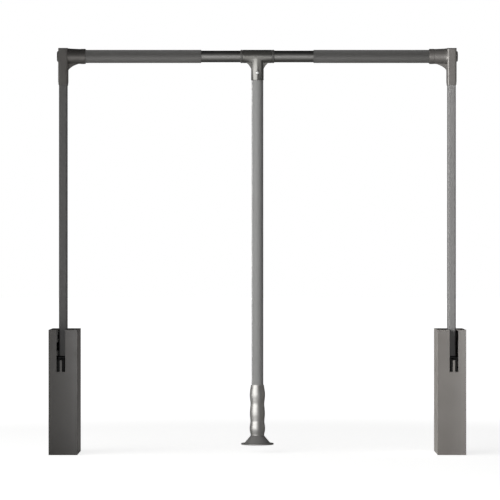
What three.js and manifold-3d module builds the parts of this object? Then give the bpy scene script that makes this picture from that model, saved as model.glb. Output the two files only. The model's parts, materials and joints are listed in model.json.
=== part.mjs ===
// A pull down closet rod: two wall housings with springs, two swinging arms, a telescopic hanging rod
// and a pull rod with a grip. The person stands in front, pulls the grip, and the arms tip forward.
// Millimetres, +Z up, -Y is the front, and X runs from the left housing to the right one.
// The origin lies under the middle of the set, at the bottoms and the mid-depth of the housings.
// Each side is drawn for the left housing, with +X towards the middle, and mirrored for the right.
import * as THREE from "three";
import { mergeVertices } from "three/addons/utils/BufferGeometryUtils.js";
import Module from "manifold-3d";

const wasm = await Module();
wasm.setup();

// Whole set
const setWidth = 817;
const rodHeight = 784.5;
const fullSwing = 96.5;

// Fits
const seatGap = 0.3;
const runGap = 0.3;
const overrun = 4;
const weldDistance = 0.001;

// Facet counts
const tubeSides = 28;
const smallSides = 12;
const hexagonSides = 6;
const arcSteps = 5;
const cornerSteps = 3;

// Arm: flat tube with round corners, hung on the main axle
const armWidth = 16;
const armDepth = 28;
const armWall = 1.5;
const armCornerRadius = 3;
const armTail = 27.4;
const pivotDepth = 16;
const pivotHeight = 210;

// Main axle, its bush, spacer and clip
const axleRadius = 5;
const axleSpigotRadius = 4.2;
const axleCollarRadius = 7.5;
const axleCollarLength = 3;
const axleEndLength = 1.2;
const axleChamfer = 0.6;
const bushWall = 1.7;
const spacerLength = 9.7;
const spacerWall = 2.7;
const clipThickness = 0.9;
const clipDepth = 1;
const clipReach = 2.2;
const clipMouth = 5.4;

// Crank on the arm
const crankPlateThickness = 4;
const crankBossRadius = 9;
const crankStrapWidth = 15;
const crankPinRadius = 3.5;
const crankPinWall = 3;
const pinShoulderLength = 1.1;
const pinShoulderRadius = 5;
const pinHeadLength = 2;
const pinHeadRadius = 5.2;
const rivetSpacing = 20;
const rivetRadius = 2.5;
const rivetHeadRadius = 4.5;
const rivetHeadHeight = 2;

// Chassis: wall plate, ear, spring shelf, stop pin and buffer lug
const plateThickness = 2.5;
const wallScrewRadius = 2.75;
const wallScrewInset = 15;
const earThickness = 3;
const earGap = 0.9;
const earWall = 4.2;
const shelfThickness = 4;
const shelfDrop = 40;
const shelfRibThickness = 3;
const shelfRibHeight = 24;
const stopRadius = 4;
const stopDrop = 22;
const lugThickness = 3;
const lugDrop = 57;

// Yoke, its pull rod and the spring
const yokeThickness = 6;
const yokeWall = 2.6;
const yokeFoot = 5;
const yokeEndGap = 0.8;
const yokeLift = 40;
const slotError = 0.65;
const yokeRodRadius = 3.5;
const yokeRodTail = 8;
const yokeRodPoint = 1;
const earYokeGap = 0.9;
const springRadius = 11.5;
const springWire = 4;
const springTurns = 13;
const springSteps = 8;
const springWireSides = 5;
const springFloorGap = 34;
const springSideGap = 0.9;
const springEndPitchGap = 0.7;
const seatThickness = 3.5;
const nutFlats = 12;
const nutHeight = 6;

// Housing cover
const coverDepth = 130;
const coverWall = 2.5;
const coverHeadroom = 5.4;
const slotSideGap = 0.5;
const slotBackGap = 2;
const slotDrop = 47.3;
const tongueWidth = 5;
const tongueGap = 1.28;
const coverScrewRadius = 2;
const coverScrewHeadRadius = 4;
const coverScrewHeadHeight = 1.6;
const coverScrewLength = 12;
const standoffRadius = 5;
const standoffShelfGap = 1.5;
const standoffDrop = 3;
const standoffSpigotRadius = 2.6;
const bufferWidth = 14;
const bufferLength = 12;

// Hanging rod
const outerTubeRadius = 13;
const outerTubeWall = 1;
const innerTubeRadius = 11.6;
const innerTubeWall = 1.2;
const restOverlap = 110;
const closingTravel = 75;
const closingGap = 2.7;

// Elbow
const elbowSideWall = 1.2;
const elbowDepthWall = 1.7;
const elbowEndWall = 5.5;
const elbowCornerRadius = 4;
const elbowTopRadius = 3.5;
const elbowSkirt = 57;
const elbowTaperHeight = 8;
const elbowTaperDepth = 0.9;
const elbowBoreFloor = 3.6;
const socketLength = 34.7;
const socketLipLength = 9.3;
const socketRootWall = 2.6;
const socketLipWall = 1.7;
const socketLipRound = 1;
const elbowWebThickness = 8;
const elbowWebReach = 24.5;
const elbowWebDrop = 15;
const elbowWebBow = 0.35;
const capRadius = 10.5;
const capHeight = 2.5;
const capBevel = 1.2;
const capSpigotRadius = 6;
const capSpigotLength = 3.5;

// Screws at the back of the elbow
const screwRadius = 1.7;
const screwHeadRadius = 3.9;
const screwHeadHeight = 2.2;
const screwLength = 7;
const screwFlatDepth = 1.2;
const rodScrewPlace = 20;
const armScrewDrop = 36;

// Tee and its stop collars
const teeWall = 1.2;
const teeHalf = 33.5;
const collarLength = 4.4;
const collarBevel = 0.9;
const stemRadius = 12.4;
const stemWall = 2.9;
const stemLength = 47.4;
const stemRoof = 4.5;
const teeWebThickness = 8;
const teeWebReach = 10.5;
const teeWebDrop = 24;
const teeWebBow = 0.5;

// Snap button and its plug
const buttonRadius = 2.9;
const buttonProud = 1.3;
const buttonRound = 1.4;
const buttonFlangeRadius = 4;
const buttonFlangeLength = 1;
const buttonFlangeSink = 2;
const buttonDrop = 32.7;
const buttonSpringWire = 0.7;
const buttonSpringTurns = 5;
const plugLength = 32;
const plugPoint = 1.5;

// Pull rod, grip and bell
const pullTubeRadius = 11.7;
const pullTubeWall = 1.2;
const gripTop = 134;
const gripLength = 100;
const gripRadius = 15.2;
const gripFloor = 28;
const gripSteps = 3;
const bellHeight = 18;
const bellRimRadius = 32.2;
const bellRimHeight = 3.2;
const bellConeRadius = 25.8;
const bellNeckRadius = 13.4;
const bellWall = 2.4;
const bellBossRadius = 7;
const bellBossLength = 10;
const bellScrewRadius = 2.5;
const bellScrewHeadRadius = 4.6;
const bellScrewHeadHeight = 3;
const bellScrewGrip = 16;

// Swells of the grip: share of its length from the top, and share of its greatest radius
const gripSwellShares = [
  [0, 0.845],
  [0.04, 0.88],
  [0.21, 1],
  [0.375, 0.9],
  [0.578, 0.985],
  [0.727, 0.91],
  [0.869, 1.01],
  [0.98, 0.89],
  [1, 0.88],
];

// Places along X of one side, from the arm's middle
const armFace = armWidth / 2;
const spacerEnd = -armFace - seatGap - spacerLength;
const axleCollarEnd = spacerEnd - seatGap - axleCollarLength;
const plateInner = axleCollarEnd - seatGap;
const plateOuter = plateInner - plateThickness;
const crankInner = armFace + seatGap;
const crankOuter = crankInner + crankPlateThickness;
const earInner = crankOuter + earGap;
const earOuter = earInner + earThickness;
const pinShoulderEnd = crankOuter + seatGap + pinShoulderLength;
const yokeInner = pinShoulderEnd + runGap;
const yokeOuter = yokeInner + yokeThickness;
const yokeMiddle = (yokeInner + yokeOuter) / 2;
const coverInner = yokeMiddle + springRadius + springSideGap;
const coverOuter = coverInner + coverWall;
const armPlace = setWidth / 2 + plateOuter;

// Places along Y and Z of one side
const swingAngle = THREE.MathUtils.degToRad(fullSwing);
const overSwing = swingAngle - Math.PI / 2;
const earHalf = axleRadius + runGap + earWall;
const slotHalfHeight = crankPinRadius + slotError + runGap;
const crankAngle = swingAngle / 2;
const pinReach = earHalf + earYokeGap + yokeWall + yokeEndGap + crankPinRadius;
const crankRadius = pinReach / Math.cos(crankAngle);
const pinDepth = pivotDepth + pinReach;
const pinHeight = pivotHeight - crankRadius * Math.sin(crankAngle);
const yokeHeight = pivotHeight - yokeLift / 2;
const yokeSlotFront = pinDepth - crankPinRadius - yokeEndGap;
const yokeSlotBack = pivotDepth + crankRadius + crankPinRadius + yokeEndGap;
const yokeFront = yokeSlotFront - yokeWall;
const yokeBack = yokeSlotBack + yokeWall;
const yokeAxis = (yokeFront + yokeBack) / 2;
const yokeTop = yokeHeight + slotHalfHeight + yokeWall;
const yokeBottom = yokeHeight - slotHalfHeight - yokeFoot;
const shelfTop = pivotHeight - shelfDrop;
const shelfBottom = shelfTop - shelfThickness;
const coverHeight = yokeTop + yokeLift + coverHeadroom + coverWall;
const coverHalf = coverDepth / 2;
const innerHalf = coverHalf - coverWall - seatGap;
const slotHalf = armFace + slotSideGap;
const slotBottom = pivotHeight - slotDrop;
const armFront = pivotDepth - armDepth / 2;
const armBack = pivotDepth + armDepth / 2;
const standoffDepth = pivotDepth - earHalf - standoffShelfGap - standoffRadius;
const standoffHeight = shelfBottom - standoffDrop;
const stopDepth = armFront - seatGap - stopRadius;
const stopHeight = pivotHeight - stopDrop;
const lugTop = pivotHeight - lugDrop;
const springTop = shelfBottom - seatGap;
const springBottom = springFloorGap + seatGap + seatThickness;

// Places of the hanging rod and the tee
const mouthPlace = teeHalf + closingTravel + closingGap;
const elbowHalf = armFace + runGap + elbowSideWall;
const elbowHalfDepth = armDepth / 2 + runGap + elbowDepthWall;
const rodBoreRadius = outerTubeRadius + runGap;
const rodBoreEnd = elbowEndWall - elbowHalf;
const armTop = rodHeight - rodBoreRadius - elbowBoreFloor - seatGap;
const elbowBottom = rodHeight - elbowSkirt;
const socketEnd = elbowHalf + socketLength;
const rodScrewX = elbowHalf + rodScrewPlace;
const armScrewHeight = rodHeight - armScrewDrop;
const teeRadius = innerTubeRadius + runGap + teeWall;
const stemBottom = rodHeight - stemLength;
const stemBoreRadius = stemRadius - stemWall;
const stemBoreTop = rodHeight - innerTubeRadius - runGap - stemRoof;
const plugRadius = stemBoreRadius - runGap;
const buttonHeight = rodHeight - buttonDrop;
const pullTubeTop = stemBottom - seatGap;
const gripBottom = gripTop - gripLength;
const gripBoreFloor = gripBottom + gripFloor;
const bellTop = gripBottom - seatGap;
const bellBottom = bellTop - bellHeight;

// Height of the lowered arm's under side, at a given depth
function loweredArmHeight(depth) {
  const fall = (pivotDepth - depth) * Math.tan(overSwing);
  return pivotHeight - fall - armDepth / 2 / Math.cos(overSwing);
}

// Finishes
function finish(color, roughness, metalness) {
  return new THREE.MeshStandardMaterial({ color, roughness, metalness });
}
const graphitePaint = finish("#63615e", 0.5, 0.3);
const graphiteSteel = finish("#55534f", 0.45, 0.6);
const mouldedGraphite = finish("#514d49", 0.55, 0.1);
const satinSteel = finish("#8f8e8b", 0.35, 0.8);
const brightChrome = finish("#d0d0ce", 0.15, 1);
const zincSteel = finish("#a8aaa8", 0.4, 0.8);
const blackZincSteel = finish("#3a3b3c", 0.45, 0.7);
const springSteel = finish("#3c3b3a", 0.4, 0.7);
const blackRubber = finish("#151515", 0.85, 0);
const whiteNylon = finish("#d8d6cf", 0.5, 0);

// A closed three.js geometry as a solid that can be joined and cut
function solid(geometry) {
  geometry.deleteAttribute("normal");
  geometry.deleteAttribute("uv");
  const merged = mergeVertices(geometry, weldDistance);
  return new wasm.Manifold(
    new wasm.Mesh({
      numProp: 3,
      vertProperties: merged.attributes.position.array,
      triVerts: new Uint32Array(merged.index.array),
    }),
  );
}

// A finished solid as a named mesh
function piece(name, shape, material) {
  const cut = shape.getMesh();
  const geometry = new THREE.BufferGeometry();
  geometry.setAttribute("position", new THREE.BufferAttribute(cut.vertProperties, 3));
  geometry.setIndex(new THREE.BufferAttribute(cut.triVerts, 1));
  geometry.computeVertexNormals();
  const mesh = new THREE.Mesh(geometry, material);
  mesh.name = name;
  return mesh;
}

function block(x0, x1, y0, y1, z0, z1) {
  const box = new THREE.BoxGeometry(x1 - x0, y1 - y0, z1 - z0);
  return solid(box.translate((x0 + x1) / 2, (y0 + y1) / 2, (z0 + z1) / 2));
}

// A profile of radius and place along the axis, turned round X, Y or Z
function turned(axis, profile, sides = smallSides) {
  const points = profile.map(([radius, place]) => new THREE.Vector2(radius, place));
  const lathe = new THREE.LatheGeometry(points, sides);
  if (axis === "x") lathe.rotateZ(-Math.PI / 2);
  if (axis === "z") lathe.rotateX(Math.PI / 2);
  return solid(lathe);
}

function bar(axis, radius, from, to, sides) {
  return turned(axis, [[0, from], [radius, from], [radius, to], [0, to]], sides);
}

function pipe(axis, outer, inner, from, to, sides) {
  const ring = [[inner, from], [outer, from], [outer, to], [inner, to], [inner, from]];
  return turned(axis, ring, sides);
}

// An outline pushed along an axis: drawn in YZ for X, in XZ for Y and in XY for Z
function prism(axis, outline, from, to, steps = arcSteps) {
  const drawn = outline.getPoints(steps);
  const points = drawn.filter((p, i) => p.distanceTo(drawn[(i + 1) % drawn.length]) > weldDistance);
  const settings = { depth: to - from, bevelEnabled: false };
  const geometry = new THREE.ExtrudeGeometry(new THREE.Shape(points), settings);
  const alongX = new THREE.Vector3(1, 0, 0);
  const alongY = new THREE.Vector3(0, 1, 0);
  const alongZ = new THREE.Vector3(0, 0, 1);
  const turn = new THREE.Matrix4();
  if (axis === "x") turn.makeBasis(alongY, alongZ, alongX).setPosition(from, 0, 0);
  if (axis === "y") turn.makeBasis(alongX, alongZ, alongY.negate()).setPosition(0, to, 0);
  if (axis === "z") turn.setPosition(0, 0, from);
  return solid(geometry.applyMatrix4(turn));
}

function polygon(points) {
  return new THREE.Shape(points.map(([across, up]) => new THREE.Vector2(across, up)));
}

// A rectangle with round corners, centred on the origin
function roundedBox(width, height, radius) {
  const x = width / 2 - radius;
  const y = height / 2 - radius;
  const quarter = Math.PI / 2;
  const shape = new THREE.Shape();
  shape.absarc(x, y, radius, 0, quarter);
  shape.absarc(-x, y, radius, quarter, quarter * 2);
  shape.absarc(-x, -y, radius, quarter * 2, quarter * 3);
  shape.absarc(x, -y, radius, quarter * 3, quarter * 4);
  return shape;
}

// The outline round two circles, as a link plate has
function linkOutline(from, fromRadius, to, toRadius) {
  const run = new THREE.Vector2(to[0] - from[0], to[1] - from[1]);
  const lean = Math.acos((fromRadius - toRadius) / run.length());
  const heading = run.angle();
  const shape = new THREE.Shape();
  shape.absarc(from[0], from[1], fromRadius, heading + lean, heading - lean + Math.PI * 2);
  shape.absarc(to[0], to[1], toRadius, heading - lean, heading + lean);
  return shape;
}

// A corner web between an upright and a level piece, hollowed by a curve
function webOutline(corner, reach, drop, bow) {
  const [x, z] = corner;
  const shape = new THREE.Shape();
  shape.moveTo(x, z);
  shape.lineTo(x, z - drop);
  shape.quadraticCurveTo(x + reach * bow * bow, z - drop * bow, x + reach, z);
  return shape;
}

// A round wire spring along Z with closed end turns, as one unbroken tube
function coil(meanRadius, wireRadius, bottom, top, turns, name) {
  const steps = turns * springSteps;
  const endPitch = wireRadius * 2 + springEndPitchGap;
  const rise = top - bottom - wireRadius * 2 - endPitch * 2;
  const heightAt = (turn) => {
    const middle = THREE.MathUtils.clamp((turn - 1) / (turns - 2), 0, 1) * rise;
    const ends = Math.min(turn, 1) * endPitch + Math.max(turn - turns + 1, 0) * endPitch;
    return bottom + wireRadius + middle + ends;
  };
  const path = [];
  for (let i = 0; i <= steps; i += 1) {
    const angle = (i / springSteps) * Math.PI * 2;
    const x = meanRadius * Math.cos(angle);
    const y = meanRadius * Math.sin(angle);
    path.push(new THREE.Vector3(x, y, heightAt(i / springSteps)));
  }
  const positions = [];
  const faces = [];
  path.forEach((centre) => {
    const outward = new THREE.Vector3(centre.x, centre.y, 0).normalize();
    for (let k = 0; k < springWireSides; k += 1) {
      const angle = (k / springWireSides) * Math.PI * 2;
      const point = centre.clone().addScaledVector(outward, wireRadius * Math.cos(angle));
      positions.push(point.x, point.y, point.z + wireRadius * Math.sin(angle));
    }
  });
  for (let i = 0; i < steps; i += 1) {
    for (let k = 0; k < springWireSides; k += 1) {
      const next = (k + 1) % springWireSides;
      const a = i * springWireSides + k;
      const b = i * springWireSides + next;
      faces.push(a, a + springWireSides, b, b, a + springWireSides, b + springWireSides);
    }
  }
  const last = steps * springWireSides;
  for (let k = 1; k < springWireSides - 1; k += 1) {
    faces.push(0, k, k + 1, last, last + k + 1, last + k);
  }
  const geometry = new THREE.BufferGeometry();
  geometry.setAttribute("position", new THREE.Float32BufferAttribute(positions, 3));
  geometry.setIndex(faces);
  let least = Infinity;
  path.forEach((one, i) => {
    path.slice(i + springSteps / 2).forEach((other) => {
      least = Math.min(least, one.distanceTo(other) - wireRadius * 2);
    });
  });
  console.log(name + ": least gap of the wire to itself " + least.toFixed(2) + " mm");
  return solid(geometry);
}

// One main spring serves both sides
const mainSpring = coil(
  springRadius - springWire / 2,
  springWire / 2,
  springBottom,
  springTop,
  springTurns,
  "main spring",
);

// Housing cover: a box open towards the wall, slotted for the arm, with the stop tongue in the slot
function coverSolid() {
  const hollow = coverHalf - coverWall;
  const tongueTop = loweredArmHeight(-coverHalf) - tongueGap;
  const outside = block(plateOuter, coverOuter, -coverHalf, coverHalf, 0, coverHeight);
  const room = block(
    plateOuter - overrun, coverInner, -hollow, hollow, coverWall, coverHeight - coverWall,
  );
  const front = -coverHalf - overrun;
  const frontCut = block(
    -slotHalf, slotHalf, front, -hollow + overrun, slotBottom, coverHeight + overrun,
  );
  const tongue = block(
    -tongueWidth / 2, tongueWidth / 2, front, -hollow + overrun, slotBottom - overrun, tongueTop,
  );
  const topCut = block(
    -slotHalf, slotHalf, front, armBack + slotBackGap, coverHeight - coverWall - overrun,
    coverHeight + overrun,
  );
  const screwHole = bar("x", coverScrewRadius + runGap, coverInner - overrun, coverOuter + overrun);
  const headHole = bar(
    "x", coverScrewHeadRadius + runGap, coverOuter - coverScrewHeadHeight, coverOuter + overrun,
  );
  const holes = screwHole.add(headHole).translate([0, standoffDepth, standoffHeight]);
  return outside.subtract(room).subtract(frontCut.subtract(tongue)).subtract(topCut).subtract(holes);
}

// Chassis: the wall plate and all that is bent from it or welded to it
function chassisSolid() {
  const plateBottom = coverWall + seatGap;
  const plateTop = coverHeight - coverWall - seatGap;
  const shelfFront = pivotDepth - earHalf;
  const shelfReach = yokeMiddle + springRadius;
  let chassis = block(plateOuter, plateInner, -innerHalf, innerHalf, plateBottom, plateTop);
  const shelf = block(plateOuter, shelfReach, shelfFront, innerHalf, shelfBottom, shelfTop);
  const shelfMiddle = (shelfTop + shelfBottom) / 2;
  const ear = prism(
    "x",
    linkOutline([pivotDepth, pivotHeight], earHalf, [pivotDepth, shelfMiddle], earHalf),
    earInner,
    earOuter,
  ).intersect(
    block(earInner, earOuter, shelfFront, pivotDepth + earHalf, shelfMiddle, coverHeight),
  );
  const rib = prism(
    "y",
    polygon([
      [plateOuter, shelfMiddle],
      [plateOuter, shelfBottom - shelfRibHeight],
      [plateInner, shelfBottom - shelfRibHeight],
      [earInner, shelfBottom],
      [earInner, shelfMiddle],
    ]),
    shelfFront,
    shelfFront + shelfRibThickness,
  );
  const stop = bar("x", stopRadius, plateOuter, armFace).translate([0, stopDepth, stopHeight]);
  const lug = block(
    plateOuter, armFace, -innerHalf, -innerHalf + bufferLength + lugThickness,
    lugTop - lugThickness, lugTop,
  );
  chassis = chassis.add(shelf).add(ear).add(rib).add(stop).add(lug);
  const axleHole = bar("x", axleRadius + runGap, earInner - overrun, earOuter + overrun);
  const spigotHole = bar(
    "x", axleSpigotRadius + runGap, plateOuter - overrun, plateInner + overrun,
  );
  chassis = chassis.subtract(axleHole.add(spigotHole).translate([0, pivotDepth, pivotHeight]));
  const rodHole = bar("z", yokeRodRadius + runGap * 2, shelfBottom - overrun, shelfTop + overrun);
  chassis = chassis.subtract(rodHole.translate([yokeMiddle, yokeAxis, 0]));
  const postHole = bar(
    "x", standoffSpigotRadius + runGap, plateOuter - overrun, plateInner + overrun,
  );
  chassis = chassis.subtract(postHole.translate([0, standoffDepth, standoffHeight]));
  for (const y of [-innerHalf + wallScrewInset, innerHalf - wallScrewInset]) {
    for (const z of [plateBottom + wallScrewInset, plateTop - wallScrewInset]) {
      const hole = bar("x", wallScrewRadius, plateOuter - overrun, plateInner + overrun);
      chassis = chassis.subtract(hole.translate([0, y, z]));
    }
  }
  return chassis;
}

// Main axle: a spigot in the wall plate, a collar, the shaft and a groove for its clip
function axleSolid() {
  const grooveFrom = earOuter + seatGap;
  const grooveTo = grooveFrom + clipThickness + seatGap * 2;
  const end = grooveTo + axleEndLength;
  return turned("x", [
    [0, plateOuter + seatGap],
    [axleSpigotRadius, plateOuter + seatGap],
    [axleSpigotRadius, axleCollarEnd],
    [axleCollarRadius, axleCollarEnd],
    [axleCollarRadius, spacerEnd - seatGap],
    [axleRadius, spacerEnd - seatGap],
    [axleRadius, grooveFrom],
    [axleRadius - clipDepth, grooveFrom],
    [axleRadius - clipDepth, grooveTo],
    [axleRadius, grooveTo],
    [axleRadius, end - axleChamfer],
    [axleRadius - axleChamfer, end],
    [0, end],
  ]);
}

function axleClipSolid() {
  const from = earOuter + seatGap * 2;
  const ring = pipe(
    "x", axleRadius + clipReach, axleRadius - clipDepth + runGap, from, from + clipThickness,
  );
  const mouth = block(
    from - overrun, from + clipThickness + overrun, -clipMouth / 2, clipMouth / 2,
    0, axleRadius + clipReach + overrun,
  );
  return ring.subtract(mouth);
}

// Arm tube with its holes for the bush, the rivets and the elbow's screw
function armTubeSolid() {
  const bottom = pivotHeight - armTail;
  const outline = roundedBox(armWidth, armDepth, armCornerRadius);
  const outside = prism("z", outline, bottom, armTop, cornerSteps);
  const boreWidth = armWidth - armWall * 2;
  const boreDepth = armDepth - armWall * 2;
  const boreOutline = roundedBox(boreWidth, boreDepth, armCornerRadius - armWall);
  const bore = prism("z", boreOutline, bottom - overrun, armTop + overrun, cornerSteps);
  const reach = armFace + overrun;
  const bushHole = bar("x", axleRadius + runGap + bushWall + seatGap, -reach, reach);
  let tube = outside.subtract(bore).translate([0, pivotDepth, 0]);
  tube = tube.subtract(bushHole.translate([0, pivotDepth, pivotHeight]));
  for (const z of [pivotHeight - rivetSpacing, pivotHeight + rivetSpacing]) {
    const hole = bar("x", rivetRadius + seatGap, -reach, reach);
    tube = tube.subtract(hole.translate([0, pivotDepth, z]));
  }
  const screwHole = bar("y", screwRadius + seatGap, pivotDepth, armBack + overrun);
  return tube.subtract(screwHole.translate([0, 0, armScrewHeight]));
}

// Crank plate: a strap riveted along the arm and a lobe for the crank pin
function crankPlateSolid() {
  const pivot = [pivotDepth, pivotHeight];
  const pinBoss = crankPinRadius + seatGap + crankPinWall;
  const strapHalf = crankStrapWidth / 2;
  const strap = linkOutline(
    [pivotDepth, pivotHeight - rivetSpacing], strapHalf,
    [pivotDepth, pivotHeight + rivetSpacing], strapHalf,
  );
  const lobe = linkOutline(pivot, crankBossRadius, [pinDepth, pinHeight], pinBoss);
  let plate = prism("x", strap, crankInner, crankOuter).add(prism("x", lobe, crankInner, crankOuter));
  const drill = (radius, y, z) => {
    const hole = bar("x", radius, crankInner - overrun, crankOuter + overrun);
    plate = plate.subtract(hole.translate([0, y, z]));
  };
  drill(axleRadius + runGap, pivotDepth, pivotHeight);
  drill(crankPinRadius + seatGap, pinDepth, pinHeight);
  drill(rivetRadius + seatGap, pivotDepth, pivotHeight - rivetSpacing);
  drill(rivetRadius + seatGap, pivotDepth, pivotHeight + rivetSpacing);
  return plate;
}

function crankPinSolid() {
  const head = yokeOuter + runGap;
  return turned("x", [
    [0, crankInner],
    [crankPinRadius, crankInner],
    [crankPinRadius, crankOuter + seatGap],
    [pinShoulderRadius, crankOuter + seatGap],
    [pinShoulderRadius, pinShoulderEnd],
    [crankPinRadius, pinShoulderEnd],
    [crankPinRadius, head],
    [pinHeadRadius, head],
    [pinHeadRadius, head + pinHeadLength],
    [0, head + pinHeadLength],
  ]).translate([0, pinDepth, pinHeight]);
}

// A rivet through the arm and the crank plate, domed on the wall side and flush on the other
function rivetSolid(height) {
  const face = -armFace - seatGap;
  const crown = face - rivetHeadHeight;
  return turned("x", [
    [0, crown],
    [rivetHeadRadius / 2, crown + rivetHeadHeight / 5],
    [rivetHeadRadius, crown + rivetHeadHeight * 0.7],
    [rivetHeadRadius, face],
    [rivetRadius, face],
    [rivetRadius, crankOuter],
    [0, crankOuter],
  ]).translate([0, pivotDepth, height]);
}

// Yoke with its level slot for the crank pin, and the pull rod down through the spring
function yokeRodSolid() {
  const frame = block(yokeInner, yokeOuter, yokeFront, yokeBack, yokeBottom, yokeTop);
  const slot = block(
    yokeInner - overrun, yokeOuter + overrun, yokeSlotFront, yokeSlotBack,
    yokeHeight - slotHalfHeight, yokeHeight + slotHalfHeight,
  );
  const end = springFloorGap - seatGap - nutHeight - yokeRodTail;
  const rod = turned("z", [
    [0, end],
    [yokeRodRadius - yokeRodPoint, end],
    [yokeRodRadius, end + yokeRodPoint],
    [yokeRodRadius, yokeBottom + yokeFoot / 2],
    [0, yokeBottom + yokeFoot / 2],
  ]);
  return frame.subtract(slot).add(rod.translate([yokeMiddle, yokeAxis, 0]));
}

function springSeatSolid() {
  const washer = pipe(
    "z", springRadius, yokeRodRadius + seatGap, springFloorGap, springFloorGap + seatThickness,
  );
  return washer.translate([yokeMiddle, yokeAxis, 0]);
}

function seatNutSolid() {
  const cornerRadius = nutFlats / 2 / Math.cos(Math.PI / hexagonSides);
  const top = springFloorGap - seatGap;
  const nut = bar("z", cornerRadius, top - nutHeight, top, hexagonSides);
  const hole = bar("z", yokeRodRadius + seatGap, top - nutHeight - overrun, top + overrun);
  return nut.subtract(hole).translate([yokeMiddle, yokeAxis, 0]);
}

// Standoff post from the wall plate to the cover, and the screw that holds the cover to it
function standoffSolid() {
  const from = plateInner + seatGap;
  const to = coverInner - seatGap;
  const post = turned("x", [
    [0, plateOuter + seatGap],
    [standoffSpigotRadius, plateOuter + seatGap],
    [standoffSpigotRadius, from],
    [standoffRadius, from],
    [standoffRadius, to],
    [0, to],
  ]);
  const thread = bar(
    "x", coverScrewRadius + seatGap, to - coverScrewLength, to + overrun,
  );
  return post.subtract(thread).translate([0, standoffDepth, standoffHeight]);
}

function coverScrewSolid() {
  const headSeat = coverOuter - coverScrewHeadHeight + seatGap;
  const socketRadius = coverScrewRadius * 0.8;
  const screw = turned("x", [
    [0, headSeat - coverScrewLength],
    [coverScrewRadius, headSeat - coverScrewLength],
    [coverScrewRadius, headSeat],
    [coverScrewHeadRadius, headSeat],
    [coverScrewHeadRadius, coverOuter],
    [0, coverOuter],
  ]);
  const socket = bar(
    "x", socketRadius, coverOuter - coverScrewHeadHeight / 2, coverOuter + overrun, hexagonSides,
  );
  return screw.subtract(socket).translate([0, standoffDepth, standoffHeight]);
}

// Rubber buffer, cut to the slope of the lowered arm
function bufferSolid() {
  const front = -innerHalf + seatGap;
  const back = front + bufferLength;
  const base = lugTop + seatGap;
  const outline = polygon([
    [front, base],
    [back, base],
    [back, loweredArmHeight(back) - seatGap],
    [front, loweredArmHeight(front) - seatGap],
  ]);
  return prism("x", outline, -bufferWidth / 2, bufferWidth / 2);
}

// Elbow: square topped sleeve for the arm and socket for the rod, with a web between them
function elbowSolid() {
  const plan = roundedBox(elbowHalf * 2, elbowHalfDepth * 2, elbowCornerRadius);
  const top = rodHeight + elbowHalfDepth;
  const foot = elbowBottom - elbowTopRadius;
  const side = roundedBox(elbowHalfDepth * 2, top - foot, elbowTopRadius);
  const narrow = elbowHalf - elbowTaperDepth;
  const front = polygon([
    [-narrow, elbowBottom],
    [narrow, elbowBottom],
    [elbowHalf, elbowBottom + elbowTaperHeight],
    [elbowHalf, top],
    [-elbowHalf, top],
    [-elbowHalf, elbowBottom + elbowTaperHeight],
  ]);
  const upright = prism("z", plan, elbowBottom - overrun, top, cornerSteps)
    .translate([0, pivotDepth, 0]);
  const body = prism("x", side, -elbowHalf, elbowHalf, cornerSteps)
    .translate([0, pivotDepth, (top + foot) / 2])
    .intersect(upright)
    .intersect(prism("y", front, pivotDepth - elbowHalfDepth, pivotDepth + elbowHalfDepth));
  const lip = rodBoreRadius + socketLipWall;
  const root = rodBoreRadius + socketRootWall;
  const socket = turned("x", [
    [0, rodBoreEnd],
    [root, rodBoreEnd],
    [root, elbowHalf],
    [lip, socketEnd - socketLipLength],
    [lip, socketEnd - socketLipRound],
    [lip - socketLipRound, socketEnd],
    [0, socketEnd],
  ], tubeSides).translate([0, pivotDepth, rodHeight]);
  const web = prism(
    "y",
    webOutline([elbowHalf - elbowSideWall, rodHeight - rodBoreRadius], elbowWebReach,
      elbowWebDrop + socketLipWall, elbowWebBow),
    pivotDepth - elbowWebThickness / 2,
    pivotDepth + elbowWebThickness / 2,
  );
  const rodBore = bar("x", rodBoreRadius, rodBoreEnd, socketEnd + overrun, tubeSides);
  const capHole = bar(
    "x", capSpigotRadius + seatGap, -elbowHalf - overrun, -elbowHalf + capSpigotLength + seatGap,
  );
  const sleeveWidth = armWidth + runGap * 2;
  const sleeveDepth = armDepth + runGap * 2;
  const sleeveBore = roundedBox(sleeveWidth, sleeveDepth, armCornerRadius + runGap);
  const armBore = prism("z", sleeveBore, elbowBottom - overrun, armTop + seatGap, cornerSteps);
  const back = pivotDepth + elbowHalfDepth;
  const screwFlat = pivotDepth + lip - screwFlatDepth;
  const rodScrewHole = bar("y", screwRadius + seatGap, pivotDepth, back + overrun);
  const rodScrewSeat = bar("y", screwHeadRadius + seatGap, screwFlat, back + overrun);
  const armScrewHole = bar("y", screwRadius + seatGap, pivotDepth, back + overrun);
  return body
    .add(socket)
    .add(web)
    .subtract(rodBore.add(capHole).translate([0, pivotDepth, rodHeight]))
    .subtract(armBore.translate([0, pivotDepth, 0]))
    .subtract(rodScrewHole.add(rodScrewSeat).translate([rodScrewX, 0, rodHeight]))
    .subtract(armScrewHole.translate([0, 0, armScrewHeight]));
}

function endCapSolid() {
  const seat = -elbowHalf - seatGap;
  const face = seat - capHeight;
  return turned("x", [
    [0, face],
    [capRadius - capBevel, face],
    [capRadius, face + capBevel],
    [capRadius, seat],
    [capSpigotRadius, seat],
    [capSpigotRadius, -elbowHalf + capSpigotLength],
    [0, -elbowHalf + capSpigotLength],
  ], tubeSides).translate([0, pivotDepth, rodHeight]);
}

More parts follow.
